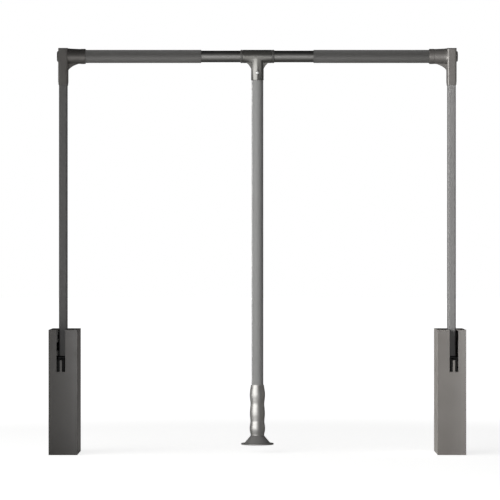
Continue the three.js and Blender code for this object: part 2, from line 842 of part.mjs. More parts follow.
function outerTubeSolid() {
  const bore = outerTubeRadius - outerTubeWall;
  const tube = pipe(
    "x", outerTubeRadius, bore, rodBoreEnd + seatGap, armPlace - mouthPlace, tubeSides,
  ).translate([0, pivotDepth, rodHeight]);
  const hole = bar("y", screwRadius + seatGap, pivotDepth, pivotDepth + outerTubeRadius + overrun);
  return tube.subtract(hole.translate([rodScrewX, 0, rodHeight]));
}

// A pan head screw driven in from the back, its head on a given seat
function backScrewSolid(seat, x, z) {
  const head = seat + seatGap;
  const screw = turned("y", [
    [0, head - screwLength],
    [screwRadius, head - screwLength],
    [screwRadius, head],
    [screwHeadRadius, head],
    [screwHeadRadius, head + screwHeadHeight / 2],
    [screwHeadRadius * 0.7, head + screwHeadHeight],
    [0, head + screwHeadHeight],
  ]);
  return screw.translate([x, 0, z]);
}

// All pieces of one side, in the side's own frame
function sidePieces(side) {
  const lip = rodBoreRadius + socketLipWall;
  const spring = mainSpring.translate([yokeMiddle, yokeAxis, 0]);
  const bush = pipe("x", axleRadius + runGap + bushWall, axleRadius + runGap, -armFace, armFace);
  const spacer = pipe(
    "x", axleRadius + runGap + spacerWall, axleRadius + runGap, spacerEnd, -armFace - seatGap,
  );
  const atPivot = [0, pivotDepth, pivotHeight];
  const parts = [
    ["cover", coverSolid(), graphitePaint],
    ["chassis", chassisSolid(), blackZincSteel],
    ["axle", axleSolid().translate(atPivot), zincSteel],
    ["axle_clip", axleClipSolid().translate(atPivot), springSteel],
    ["spacer", spacer.translate(atPivot), whiteNylon],
    ["standoff", standoffSolid(), zincSteel],
    ["cover_screw", coverScrewSolid(), springSteel],
    ["buffer", bufferSolid(), blackRubber],
    ["spring", spring, springSteel],
    ["arm_tube", armTubeSolid(), graphiteSteel],
    ["arm_bush", bush.translate(atPivot), whiteNylon],
    ["crank_plate", crankPlateSolid(), zincSteel],
    ["crank_pin", crankPinSolid(), zincSteel],
    ["rivet_lower", rivetSolid(pivotHeight - rivetSpacing), zincSteel],
    ["rivet_upper", rivetSolid(pivotHeight + rivetSpacing), zincSteel],
    ["elbow", elbowSolid(), mouldedGraphite],
    ["end_cap", endCapSolid(), mouldedGraphite],
    ["outer_tube", outerTubeSolid(), graphiteSteel],
    ["rod_screw", backScrewSolid(pivotDepth + lip - screwFlatDepth, rodScrewX, rodHeight), springSteel],
    ["arm_screw", backScrewSolid(pivotDepth + elbowHalfDepth, 0, armScrewHeight), springSteel],
    ["yoke_rod", yokeRodSolid(), zincSteel],
    ["spring_seat", springSeatSolid(), zincSteel],
    ["seat_nut", seatNutSolid(), zincSteel],
  ];
  return parts.map(([name, shape, material]) => piece(side + "_" + name, shape, material));
}

// Inner tube of the hanging rod, which slides in both outer tubes
function innerTubeSolid() {
  const half = mouthPlace + restOverlap;
  const tube = pipe("x", innerTubeRadius, innerTubeRadius - innerTubeWall, -half, half, tubeSides);
  return tube.translate([0, pivotDepth, rodHeight]);
}

// Tee: a barrel that turns on the inner tube, a stem for the pull rod and two webs
function teeSolid() {
  const half = teeHalf - collarLength - seatGap;
  const barrel = bar("x", teeRadius, -half, half, tubeSides).translate([0, 0, rodHeight]);
  const stem = bar("z", stemRadius, stemBottom, rodHeight, tubeSides);
  const webTop = rodHeight - innerTubeRadius - runGap;
  const web = prism(
    "y",
    webOutline([stemRadius - stemWall, webTop], teeWebReach + stemWall, teeWebDrop + teeWall, teeWebBow),
    -teeWebThickness / 2,
    teeWebThickness / 2,
  );
  const bore = bar("x", innerTubeRadius + runGap, -half - overrun, half + overrun, tubeSides);
  const stemBore = bar("z", stemBoreRadius, stemBottom - overrun, stemBoreTop, tubeSides);
  const buttonHole = bar("y", buttonRadius + runGap, -stemRadius - overrun, 0);
  return barrel
    .add(stem)
    .add(web)
    .add(web.mirror([1, 0, 0]))
    .subtract(bore.translate([0, 0, rodHeight]))
    .subtract(stemBore)
    .subtract(buttonHole.translate([0, 0, buttonHeight]))
    .translate([0, pivotDepth, 0]);
}

// Stop collar beside the tee, bevelled on the side away from it
function collarSolid() {
  const bore = innerTubeRadius + seatGap;
  return turned("x", [
    [bore, teeHalf - collarLength],
    [teeRadius, teeHalf - collarLength],
    [teeRadius, teeHalf - collarBevel],
    [teeRadius - collarBevel, teeHalf],
    [bore, teeHalf],
    [bore, teeHalf - collarLength],
  ], tubeSides).translate([0, pivotDepth, rodHeight]);
}

// Plug in the top of the pull rod: its upper half enters the stem and carries the snap button
const buttonChamber = buttonFlangeRadius + runGap;
const buttonFlangeFront = -plugRadius + buttonFlangeSink;
function rodPlugSolid() {
  const foot = pullTubeRadius - pullTubeWall - seatGap;
  const top = stemBoreTop - seatGap;
  const plug = turned("z", [
    [0, stemBottom - plugLength],
    [foot - plugPoint, stemBottom - plugLength],
    [foot, stemBottom - plugLength + plugPoint],
    [foot, pullTubeTop],
    [plugRadius, pullTubeTop],
    [plugRadius, top - plugPoint],
    [plugRadius - plugPoint, top],
    [0, top],
  ], tubeSides);
  const chamber = bar("y", buttonChamber, buttonFlangeFront - seatGap, plugRadius + overrun);
  const mouth = bar("y", buttonRadius + runGap, -plugRadius - overrun, 0);
  return plug
    .subtract(chamber.add(mouth).translate([0, 0, buttonHeight]))
    .translate([0, pivotDepth, 0]);
}

function snapButtonSolid() {
  const tip = -stemRadius - buttonProud;
  return turned("y", [
    [0, tip],
    [buttonRadius * 0.55, tip + buttonRound * 0.25],
    [buttonRadius * 0.88, tip + buttonRound * 0.6],
    [buttonRadius, tip + buttonRound],
    [buttonRadius, buttonFlangeFront],
    [buttonFlangeRadius, buttonFlangeFront],
    [buttonFlangeRadius, buttonFlangeFront + buttonFlangeLength],
    [0, buttonFlangeFront + buttonFlangeLength],
  ]).translate([0, pivotDepth, buttonHeight]);
}

function buttonSpringSolid() {
  const from = buttonFlangeFront + buttonFlangeLength + seatGap;
  const wallBehind = Math.sqrt(stemBoreRadius ** 2 - buttonFlangeRadius ** 2);
  const spring = coil(
    buttonFlangeRadius - buttonSpringWire / 2,
    buttonSpringWire / 2,
    from,
    wallBehind - seatGap,
    buttonSpringTurns,
    "button spring",
  );
  return spring.rotate([-90, 0, 0]).translate([0, pivotDepth, buttonHeight]);
}

function pullTubeSolid() {
  const bottom = gripBoreFloor + seatGap;
  const tube = pipe(
    "z", pullTubeRadius, pullTubeRadius - pullTubeWall, bottom, pullTubeTop, tubeSides,
  );
  return tube.translate([0, pivotDepth, 0]);
}

// Grip: swells and waists joined by smooth waves, bored for the tube and for the bell's screw
function gripSolid() {
  const outline = [];
  gripSwellShares.forEach(([share, radiusShare], i) => {
    const [nextShare, nextRadiusShare] = gripSwellShares[i + 1] || [share, radiusShare];
    const steps = i + 1 < gripSwellShares.length ? gripSteps : 1;
    for (let k = 0; k < steps; k += 1) {
      const way = k / steps;
      const blend = (1 - Math.cos(way * Math.PI)) / 2;
      const place = gripTop - gripLength * (share + (nextShare - share) * way);
      outline.push([gripRadius * (radiusShare + (nextRadiusShare - radiusShare) * blend), place]);
    }
  });
  const profile = [[0, gripBottom], ...outline.reverse(), [0, gripTop]];
  const body = turned("z", profile, tubeSides);
  const bore = bar("z", pullTubeRadius + seatGap, gripBoreFloor, gripTop + overrun, tubeSides);
  const hole = bar("z", bellScrewRadius + seatGap, gripBottom - overrun, bellTop + bellScrewGrip);
  return body.subtract(bore).subtract(hole).translate([0, pivotDepth, 0]);
}

// Bell: a hollow cone with a flat round rim and a boss for its screw
function bellSolid() {
  const rimTop = bellBottom + bellRimHeight;
  const round = bellRimHeight / 2;
  const roof = bellTop - bellWall;
  const slant = (bellConeRadius - bellNeckRadius) / (bellTop - rimTop - round / 2);
  const hole = bellScrewRadius + seatGap;
  return turned("z", [
    [bellRimRadius - bellWall, bellBottom],
    [bellRimRadius - round / 2, bellBottom],
    [bellRimRadius, bellBottom + round],
    [bellRimRadius - round / 2, rimTop],
    [bellConeRadius, rimTop + round / 2],
    [bellNeckRadius, bellTop],
    [hole, bellTop],
    [hole, bellTop - bellBossLength],
    [bellBossRadius, bellTop - bellBossLength],
    [bellBossRadius, roof],
    [bellNeckRadius - bellWall, roof],
    [bellNeckRadius - bellWall + slant * (roof - rimTop), rimTop],
    [bellConeRadius, bellBottom + round],
    [bellRimRadius - bellWall, bellBottom + round / 2],
    [bellRimRadius - bellWall, bellBottom],
  ], tubeSides).translate([0, pivotDepth, 0]);
}

function bellScrewSolid() {
  const seat = bellTop - bellBossLength - seatGap;
  return turned("z", [
    [0, seat - bellScrewHeadHeight],
    [bellScrewHeadRadius - bellScrewHeadHeight / 3, seat - bellScrewHeadHeight],
    [bellScrewHeadRadius, seat - bellScrewHeadHeight * 0.6],
    [bellScrewHeadRadius, seat],
    [bellScrewRadius, seat],
    [bellScrewRadius, bellTop + bellScrewGrip - seatGap],
    [0, bellTop + bellScrewGrip - seatGap],
  ]).translate([0, pivotDepth, 0]);
}

function centrePieces() {
  return [
    piece("inner_tube", innerTubeSolid(), satinSteel),
    piece("collar_left", collarSolid().mirror([1, 0, 0]), mouldedGraphite),
    piece("collar_right", collarSolid(), mouldedGraphite),
    piece("tee", teeSolid(), mouldedGraphite),
    piece("rod_plug", rodPlugSolid(), whiteNylon),
    piece("snap_button", snapButtonSolid(), brightChrome),
    piece("button_spring", buttonSpringSolid(), springSteel),
    piece("pull_tube", pullTubeSolid(), satinSteel),
    piece("grip", gripSolid(), brightChrome),
    piece("bell", bellSolid(), mouldedGraphite),
    piece("bell_screw", bellScrewSolid(), zincSteel),
  ];
}

// The set
const closetRod = new THREE.Group();
const leftSide = new THREE.Group();
leftSide.position.x = -armPlace;
leftSide.add(...sidePieces("left"));
const rightSide = new THREE.Group();
rightSide.position.x = armPlace;
rightSide.scale.x = -1;
rightSide.add(...sidePieces("right"));
closetRod.add(leftSide, rightSide, ...centrePieces());

export default closetRod;
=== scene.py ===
# A pull down closet rod: two slotted wall housings, two swinging arms, a telescopic hanging rod and a
# pull rod with a swelled grip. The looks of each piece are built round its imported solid.
# Metres, +Z up, -Y is the front. Side pieces are drawn on the left and turned over for the right.
import json
import math

import bmesh
import bpy
from mathutils import Matrix, Vector

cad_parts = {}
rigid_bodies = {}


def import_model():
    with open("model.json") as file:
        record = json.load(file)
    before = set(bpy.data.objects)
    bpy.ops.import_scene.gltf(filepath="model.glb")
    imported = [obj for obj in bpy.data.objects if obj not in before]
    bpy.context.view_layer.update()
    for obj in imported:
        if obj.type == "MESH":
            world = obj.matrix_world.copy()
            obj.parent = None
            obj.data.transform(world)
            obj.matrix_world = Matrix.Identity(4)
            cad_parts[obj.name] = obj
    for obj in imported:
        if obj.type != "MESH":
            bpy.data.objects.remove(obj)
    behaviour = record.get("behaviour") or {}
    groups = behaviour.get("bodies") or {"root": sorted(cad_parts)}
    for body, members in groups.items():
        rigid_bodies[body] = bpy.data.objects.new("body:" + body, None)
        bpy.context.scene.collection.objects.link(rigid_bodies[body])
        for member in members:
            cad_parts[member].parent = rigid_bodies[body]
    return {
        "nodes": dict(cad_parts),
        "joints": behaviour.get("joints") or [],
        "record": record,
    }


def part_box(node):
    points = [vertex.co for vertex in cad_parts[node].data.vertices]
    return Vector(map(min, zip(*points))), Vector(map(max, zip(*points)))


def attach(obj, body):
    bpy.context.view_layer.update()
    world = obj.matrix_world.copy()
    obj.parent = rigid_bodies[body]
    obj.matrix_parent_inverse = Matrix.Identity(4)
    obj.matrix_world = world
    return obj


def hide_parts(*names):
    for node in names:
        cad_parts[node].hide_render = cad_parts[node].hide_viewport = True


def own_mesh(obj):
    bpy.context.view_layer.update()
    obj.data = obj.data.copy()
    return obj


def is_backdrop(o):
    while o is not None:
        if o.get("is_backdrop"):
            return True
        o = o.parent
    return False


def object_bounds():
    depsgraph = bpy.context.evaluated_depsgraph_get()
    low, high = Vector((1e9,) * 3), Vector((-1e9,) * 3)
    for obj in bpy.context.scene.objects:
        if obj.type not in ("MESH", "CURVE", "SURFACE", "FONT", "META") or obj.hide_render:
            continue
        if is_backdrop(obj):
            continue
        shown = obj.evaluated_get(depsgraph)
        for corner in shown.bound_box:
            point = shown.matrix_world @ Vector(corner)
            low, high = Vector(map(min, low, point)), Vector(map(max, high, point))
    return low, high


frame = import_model()
cad_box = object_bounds()

# Wall plates: 2.5 mm steel, zinc plated and passivated black, with the ear, the spring shelf and the
# stop welded to it. Their black also paints the shade inside the housing. The plate is screwed to the
# wardrobe's side. Its sheared edges are broken.
both_sides = ("left", "right")
plate_edge = 0.0004
weld_distance, flat_angle = 1e-6, 1
gloss_drift = 0.06
body_of = {
    node: body for body, nodes in frame["record"]["behaviour"]["bodies"].items() for node in nodes
}


def in_scene(name, data):
    """A new object in the scene."""
    item = bpy.data.objects.new(name, data)
    bpy.context.scene.collection.objects.link(item)
    return item


def linear(hex_colour):
    """An sRGB hex colour as linear RGBA."""
    parts = [int(hex_colour[i : i + 2], 16) / 255 for i in (1, 3, 5)]
    return *(c / 12.92 if c <= 0.04045 else ((c + 0.055) / 1.055) ** 2.4 for c in parts), 1.0


def add_node(tree, kind, settings=None, inputs=None):
    """A node with its settings, and its inputs given as values or as sockets to link."""
    node = tree.nodes.new(kind)
    for name, value in (settings or {}).items():
        setattr(node, name, value)
    for name, value in (inputs or {}).items():
        if isinstance(value, bpy.types.NodeSocket):
            tree.links.new(value, node.inputs[name])
        else:
            node.inputs[name].default_value = value
    return node


def plated(name, dark, light, roughness, cloud, metallic=1.0):
    """Plated, polished or oiled metal: soft clouds of two tones, which also dull the gloss a little."""
    material = bpy.data.materials.new(name)
    material.use_nodes = True
    tree = material.node_tree
    shader = tree.nodes["Principled BSDF"]
    place = add_node(tree, "ShaderNodeTexCoord").outputs["Object"]
    clouds = add_node(
        tree, "ShaderNodeTexNoise", {}, {"Vector": place, "Scale": 1 / cloud, "Detail": 3.0}
    )
    tone = add_node(
        tree, "ShaderNodeMix", {"data_type": "RGBA"},
        {"Factor": clouds.outputs["Fac"], "A": linear(dark), "B": linear(light)},
    )
    dull = add_node(tree, "ShaderNodeMapRange", {}, {
        "Value": clouds.outputs["Fac"], "To Min": roughness - gloss_drift,
        "To Max": roughness + gloss_drift,
    })
    tree.links.new(tone.outputs["Result"], shader.inputs["Base Color"])
    tree.links.new(dull.outputs["Result"], shader.inputs["Roughness"])
    shader.inputs["Metallic"].default_value = metallic
    return material


def settle(piece):
    """Applies the piece's modifiers to its mesh."""
    graph = bpy.context.evaluated_depsgraph_get()
    settled = bpy.data.meshes.new_from_object(piece.evaluated_get(graph))
    rough = piece.data
    piece.modifiers.clear()
    piece.data = settled
    bpy.data.meshes.remove(rough)
    return piece


def soften(piece, edge=0.0, sharp=32):
    """Rounds edges sharper than so many degrees a little, then shades curves smooth and flats flat."""
    sharp_angle = math.radians(sharp)
    if edge:
        bevel = piece.modifiers.new("broken edges", "BEVEL")
        bevel.width = edge
        bevel.segments = 3
        bevel.limit_method = "ANGLE"
        bevel.angle_limit = sharp_angle
        settle(piece)
    for face in piece.data.polygons:
        face.use_smooth = True
    piece.data.set_sharp_from_angle(angle=sharp_angle)
    weighted = piece.modifiers.new("flats stay flat", "WEIGHTED_NORMAL")
    weighted.weight = 100
    weighted.keep_sharp = True
    return settle(piece)


def dress(piece, material, *nodes):
    """Gives a finished piece its material, and sets it in place of its solids."""
    piece.data.materials.clear()
    piece.data.materials.append(material)
    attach(piece, body_of[nodes[0]])
    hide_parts(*nodes)
    return piece


# Zinc plate: bluish bright metal with a faint cloudy bloom, satin rather than mirror
zinc = plated("zinc_plated_steel", "#8f9294", "#b4b6b5", 0.38, 0.012)
# Black passivated zinc: blackish grey and cloudy. Its black also paints the shade in the slot, so that
# nothing shines there
black_zinc_slot_shade = plated("passivated_zinc_as_slot_shade", "#2e2f30", "#3c3d3e", 0.5, 0.012, 0.5)
# Oiled spring steel: nearly black, with a dull sheen along each turn
spring_wire = plated("oiled_spring_steel", "#2b2a29", "#454442", 0.36, 0.008, 0.85)
# Black oxide screws: blackened steel with a soft shine
black_oxide = plated("black_oxide_steel", "#171716", "#2a2928", 0.42, 0.006, 0.7)
# Natural and dark nylon, and the buffer's rubber: dull, not metal. The spacers' dark nylon also paints
# the shade at the arms' feet, deep in the slots
nylon = plated("natural_nylon", "#c9c6bd", "#dcd9d0", 0.5, 0.01, 0.0)
dark_nylon_as_slot_shade = plated("dark_nylon_as_slot_shade", "#3c3b3a", "#444342", 0.6, 0.01, 0.0)
rubber = plated("moulded_rubber", "#0e0e0e", "#191918", 0.8, 0.004, 0.0)

for side in both_sides:
    plate = in_scene(f"{side}_wall_plate", frame["nodes"][f"{side}_chassis"].data.copy())
    tidy = bmesh.new()
    tidy.from_mesh(plate.data)
    bmesh.ops.remove_doubles(tidy, verts=tidy.verts, dist=weld_distance)
    bmesh.ops.dissolve_limit(
        tidy, angle_limit=math.radians(flat_angle), verts=tidy.verts, edges=tidy.edges
    )
    tidy.to_mesh(plate.data)
    tidy.free()
    # The plates' black stands partly for the shade inside the housing
    dress(soften(plate, plate_edge, 40), black_zinc_slot_shade, f"{side}_chassis")

# Works inside each housing: axle, clip, spacer, standoff, crank, yoke and buffer. They keep their
# solids, which only show through the slot, and take the finish that each is made in. So does the rod's
# plug. The spacer's dark tone also paints the shade in the slot.
works = {
    "axle": zinc, "axle_clip": spring_wire, "spacer": dark_nylon_as_slot_shade, "standoff": zinc, "buffer": rubber,
    "arm_bush": nylon, "crank_plate": zinc, "crank_pin": zinc, "yoke_rod": zinc,
    "spring_seat": zinc, "seat_nut": zinc,
}
finish_of = {f"{side}_{name}": works[name] for side in both_sides for name in works}
finish_of["rod_plug"] = nylon
for name, finish in finish_of.items():
    solid = frame["nodes"][name].data
    solid.materials.clear()
    solid.materials.append(finish)

# Springs: round wire wound with closed end turns, which the yoke's rod pulls together as the arm comes
# down. The main ones stand on the shelf, and a small one pushes the snap button out of the tee.


def new_tree(name, **kinds):
    """A tree of geometry nodes with named inputs of each kind, and those inputs' sockets."""
    tree = bpy.data.node_groups.new(name, "GeometryNodeTree")
    for kind, inputs in kinds.items():
        for label in inputs:
            tree.interface.new_socket(label, in_out="INPUT", socket_type=f"NodeSocket{kind}")
    tree.interface.new_socket("Geometry", in_out="OUTPUT", socket_type="NodeSocketGeometry")
    return tree, tree.nodes.new("NodeGroupInput").outputs


def end_tree(tree, geometry, finish):
    """Ends a tree: its instances become real, and all of it takes one material."""
    real = add_node(tree, "GeometryNodeRealizeInstances", {}, {"Geometry": geometry})
    finished = add_node(
        tree, "GeometryNodeSetMaterial", {},
        {"Geometry": real.outputs["Geometry"], "Material": finish},
    )
    add_node(tree, "NodeGroupOutput", {}, {"Geometry": finished.outputs["Geometry"]})
    return tree


# How far round and how high each point of the wire lies. The first and the last turn climb by only
# their own wire and a small gap, and the turns between them share the rest of the height.
winding_rule = (
    ("turn", "MULTIPLY", "Factor", "Turns"),
    ("angle", "MULTIPLY", "turn", math.tau),
    ("wire", "MULTIPLY", "Wire Radius", 2.0),
    ("end pitch", "ADD", "wire", "End Gap"),
    ("end height", "ADD", "end pitch", "Wire Radius"),
    ("both ends", "MULTIPLY", "end height", 2.0),
    ("whole height", "SUBTRACT", "Top", "Bottom"),
    ("rise", "SUBTRACT", "whole height", "both ends"),
    ("open turn", "SUBTRACT", "turn", 1.0),
    ("open turns", "SUBTRACT", "Turns", 2.0),
    ("way", "DIVIDE", "open turn", "open turns"),
    ("risen", "MULTIPLY", "way", "rise"),
    ("last start", "SUBTRACT", "Turns", 1.0),
    ("last turn", "SUBTRACT", "turn", "last start"),
    ("first share", "MINIMUM", "turn", 1.0),
    ("last share", "MAXIMUM", "last turn", 0.0),
    ("closed turns", "ADD", "first share", "last share"),
    ("closed height", "MULTIPLY", "closed turns", "end pitch"),
    ("climb", "ADD", "risen", "closed height"),
    ("start", "ADD", "Bottom", "Wire Radius"),
    ("Z", "ADD", "start", "climb"),
    ("mean radius", "SUBTRACT", "Coil Radius", "Wire Radius"),
    ("cosine", "COSINE", "angle", 0.0),
    ("sine", "SINE", "angle", 0.0),
    ("X", "MULTIPLY", "mean radius", "cosine"),
    ("Y", "MULTIPLY", "mean radius", "sine"),
)
wire_sides = 12


def spring_tree():
    """Geometry nodes that wind a wire spring up the Z axis from its own sizes."""
    tree, size = new_tree(
        "wound_spring", Float=("Turns", "Coil Radius", "Wire Radius", "Bottom", "Top", "End Gap"),
        Int=("Steps",), Material=("Finish",),
    )
    known = {socket.name: socket for socket in size}
    known["Factor"] = add_node(tree, "GeometryNodeSplineParameter").outputs["Factor"]
    for name, operation, one, two in winding_rule:
        settings = {"operation": operation, "use_clamp": name == "way"}
        values = {0: known.get(one, one), 1: known.get(two, two)}
        known[name] = add_node(tree, "ShaderNodeMath", settings, values).outputs[0]
    point = add_node(tree, "ShaderNodeCombineXYZ", {}, {axis: known[axis] for axis in "XYZ"})
    line = add_node(tree, "GeometryNodeCurvePrimitiveLine").outputs["Curve"]
    path = add_node(tree, "GeometryNodeResampleCurve", {}, {"Curve": line, "Count": size["Steps"]})
    wound_line = add_node(
        tree, "GeometryNodeSetPosition", {},
        {"Geometry": path.outputs["Curve"], "Position": point.outputs["Vector"]},
    )
    section = add_node(
        tree, "GeometryNodeCurvePrimitiveCircle", {},
        {"Resolution": wire_sides, "Radius": size["Wire Radius"]},
    )
    wire = add_node(tree, "GeometryNodeCurveToMesh", {}, {
        "Curve": wound_line.outputs["Geometry"], "Profile Curve": section.outputs["Curve"],
        "Fill Caps": True,
    })
    smooth = add_node(tree, "GeometryNodeSetShadeSmooth", {}, {"Geometry": wire.outputs["Mesh"]})
    return end_tree(tree, smooth.outputs["Geometry"], size["Finish"])


def grown(name, tree, sizes, seed_mesh=None):
    """A plain mesh piece grown by a tree of geometry nodes from its named sizes."""
    piece = in_scene(name, seed_mesh or bpy.data.meshes.new(name))
    growth = piece.modifiers.new(tree.name, "NODES")
    growth.node_group = tree
    for socket in tree.interface.items_tree:
        if socket.in_out == "INPUT" and socket.name in sizes:
            growth[socket.identifier] = sizes[socket.name]
    return settle(piece)


winding = spring_tree()
main_turns, main_wire = 13, 0.002
button_turns, button_wire = 5, 0.00035
end_gap, steps_per_turn = 0.0007, 28
joint_of = {joint["name"]: joint for joint in frame["joints"]}


def wound(name, turns, wire, radius, bottom, top):
    """A plain spring that stands on the Z axis."""
    return grown(name, winding, {
        "Turns": float(turns), "Coil Radius": radius, "Wire Radius": wire, "Bottom": bottom,
        "Top": top, "End Gap": end_gap, "Steps": turns * steps_per_turn, "Finish": spring_wire,
    })


for side in both_sides:
    low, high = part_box(f"{side}_spring")
    spring = wound(f"{side}_wound_spring", main_turns, main_wire, (high.x - low.x) / 2, low.z, high.z)
    spring.data.transform(Matrix.Translation(((low.x + high.x) / 2, (low.y + high.y) / 2, 0)))
    dress(spring, spring_wire, f"{side}_spring")
    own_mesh(spring)

low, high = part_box("button_spring")
spring = wound("small_wound_spring", button_turns, button_wire, (high.x - low.x) / 2, low.y, high.y)
spring.data.transform(
    Matrix.Translation(((low.x + high.x) / 2, 0, (low.z + high.z) / 2))
    @ Matrix.Rotation(math.radians(-90), 4, "X")
)
dress(spring, spring_wire, "button_spring")
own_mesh(spring)

# Housing covers: graphite painted ABS boxes, open to the wall, with a slot in front and on top for the
# arm, and a stop tongue that stands in the slot. Moulded faces are never quite flat: they crown.
cover_wall = 0.0025
cover_edge = 0.0007
cover_crown = 0.0007
crown_strips = 14
slot_side_gap = 0.0005
slot_bottom = 0.1627
slot_back = 0.032
tongue_half = 0.0022
tongue_top = 0.1854
screw_hole = 0.0023
screw_recess = 0.0043
recess_depth = 0.0022
overrun = 0.004
round_sides, hole_sides = 96, 32
tone_drift = 0.03


def shape(name, vertices, faces):
    """A mesh with its faces turned outwards."""
    mesh = bpy.data.meshes.new(name)
    mesh.from_pydata([tuple(v) for v in vertices], [], faces)
    outward = bmesh.new()
    outward.from_mesh(mesh)
    bmesh.ops.recalc_face_normals(outward, faces=outward.faces)
    outward.to_mesh(mesh)
    outward.free()
    return in_scene(name, mesh)


def block(name, x, y, z):
    """A box between three pairs of places."""
    corners = [(x[i], y[j], z[k]) for i in (0, 1) for j in (0, 1) for k in (0, 1)]
    sides = [(0, 1, 3, 2), (4, 6, 7, 5), (0, 4, 5, 1), (2, 3, 7, 6), (0, 2, 6, 4), (1, 5, 7, 3)]
    return shape(name, corners, sides)


def turned(name, profile, axis, centre, sides=round_sides):
    """Spins (radius, place) points round an axis through centre. Radius 0 closes an end."""
    along = "xyz".index(axis)
    across, up = (along + 1) % 3, (along + 2) % 3
    vertices, rings = [], []
    for radius, place in profile:
        count = sides if radius > 0 else 1
        rings.append([len(vertices) + i for i in range(count)])
        for i in range(count):
            angle = math.tau * i / sides
            point = Vector(centre)
            point[along] = place
            point[across] += radius * math.cos(angle)
            point[up] += radius * math.sin(angle)
            vertices.append(point)
    pairs = list(zip(rings, rings[1:]))
    if len(rings[0]) > 1 and len(rings[-1]) > 1:
        pairs.append((rings[-1], rings[0]))
    faces = []
    for one, two in pairs:
        for i in range(sides):
            k = (i + 1) % sides
            corner = [one[i % len(one)], one[k % len(one)], two[k % len(two)], two[i % len(two)]]
            face = list(dict.fromkeys(corner))
            if len(face) > 2:
                faces.append(face)
    return shape(name, vertices, faces)


def round_bar(name, radius, start, end, axis, centre, sides=round_sides, ease=0.0):
    """A round bar between two places along an axis, its edges eased or left sharp."""
    profile = [(0, start), (radius, start), (radius, end), (0, end)]
    return turned(name, eased(profile, ease) if ease else profile, axis, centre, sides)


def cut(piece, tool, operation="DIFFERENCE"):
    """Cuts a tool from a piece, adds it with UNION, or keeps what both share with INTERSECT."""
    change = piece.modifiers.new("cut", "BOOLEAN")
    change.operation = operation
    change.solver = "EXACT"
    change.object = tool
    settle(piece)
    bpy.data.objects.remove(tool)
    return piece


def sided(piece, side):
    """Turns a piece drawn on the left over to the right side."""
    if side == "right":
        piece.data.transform(Matrix.Scale(-1, 4, (1, 0, 0)))
        piece.data.flip_normals()
    return piece


def crowned(piece, low, high):
    """Bows the front and back of a cover by cutting them into upright strips."""
    strips = bmesh.new()
    strips.from_mesh(piece.data)
    for i in range(1, crown_strips):
        x = low.x + (high.x - low.x) * i / crown_strips
        everything = strips.verts[:] + strips.edges[:] + strips.faces[:]
        bmesh.ops.bisect_plane(strips, geom=everything, plane_co=(x, 0, 0), plane_no=(1, 0, 0))
    middle, half = (low.x + high.x) / 2, (high.x - low.x) / 2
    for vertex in strips.verts:
        depth_share = max(0.0, abs(vertex.co.y) / high.y * 2 - 1)
        bow = cover_crown * ((vertex.co.x - middle) / half) ** 2
        vertex.co.y -= math.copysign(bow * depth_share, vertex.co.y)
    strips.to_mesh(piece.data)
    strips.free()
    return piece


def raised(material, place, scale, height):
    """Gives a material a fine relief of noise."""
    tree = material.node_tree
    skin = add_node(tree, "ShaderNodeTexNoise", {}, {"Vector": place, "Scale": scale, "Detail": 2.0})
    bump = add_node(tree, "ShaderNodeBump", {}, {"Height": skin.outputs["Fac"], "Distance": height})
    tree.links.new(bump.outputs["Normal"], tree.nodes["Principled BSDF"].inputs["Normal"])
    return material


def grained(name, dark, light, roughness, metallic, grain, height=0.00001):
    """Sprayed paint or moulded plastic: two close tones in soft drifts, and its fine peel or grain."""
    material = plated(name, dark, light, roughness, tone_drift, metallic)
    place = add_node(material.node_tree, "ShaderNodeTexCoord").outputs["Object"]
    return raised(material, place, 1 / grain, height)


# Satin graphite paint on ABS. Its peel is about 1 mm across; it is drawn 3 mm across to show at all
housing_paint = grained("satin_graphite_paint_on_abs", "#45423f", "#4b4845", 0.3, 0.1, 0.003)

(wall_side, front, bottom), (open_side, back, top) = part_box("left_cover")
arm_low, arm_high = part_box("left_arm_tube")
arm_x = (arm_low.x + arm_high.x) / 2
screw_low, screw_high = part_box("left_cover_screw")
screw_centre = (screw_low + screw_high) / 2
slot_x = (arm_low.x - slot_side_gap, arm_high.x + slot_side_gap)
for side in both_sides:
    cover = block(f"{side}_cover_shell", (wall_side, open_side), (front, back), (bottom, top))
    cut(cover, block(
        "hollow", (wall_side - overrun, open_side - cover_wall),
        (front + cover_wall, back - cover_wall), (bottom + cover_wall, top - cover_wall),
    ))
    skin = (front - overrun, front + cover_wall + overrun)
    tongue_x = (arm_x - tongue_half, arm_x + tongue_half)
    tongue = block("tongue", tongue_x, skin, (slot_bottom - overrun, tongue_top))
    cut(cover, cut(block("front_slot", slot_x, skin, (slot_bottom, top + overrun)), tongue))
    cut(cover, block(
        "top_slot", slot_x, (front - overrun, slot_back),
        (top - cover_wall - overrun, top + overrun),
    ))
    inside, outside = open_side - cover_wall - overrun, open_side + overrun
    seat = open_side - recess_depth
    cut(cover, turned("recess", [
        (0, inside), (screw_hole, inside), (screw_hole, seat), (screw_recess, seat),
        (screw_recess, outside), (0, outside),
    ], "x", screw_centre, hole_sides))
    sided(cover, side)
    soften(cover, cover_edge, 40)
    crowned(cover, *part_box(f"{side}_cover"))
    dress(soften(cover), housing_paint, f"{side}_cover")

# Screws and rivets: pan heads with a cross recess hold the elbows from behind, socket heads hold the
# covers, and domed steel rivets join the arm to its crank. One tree sets each kind in its places.


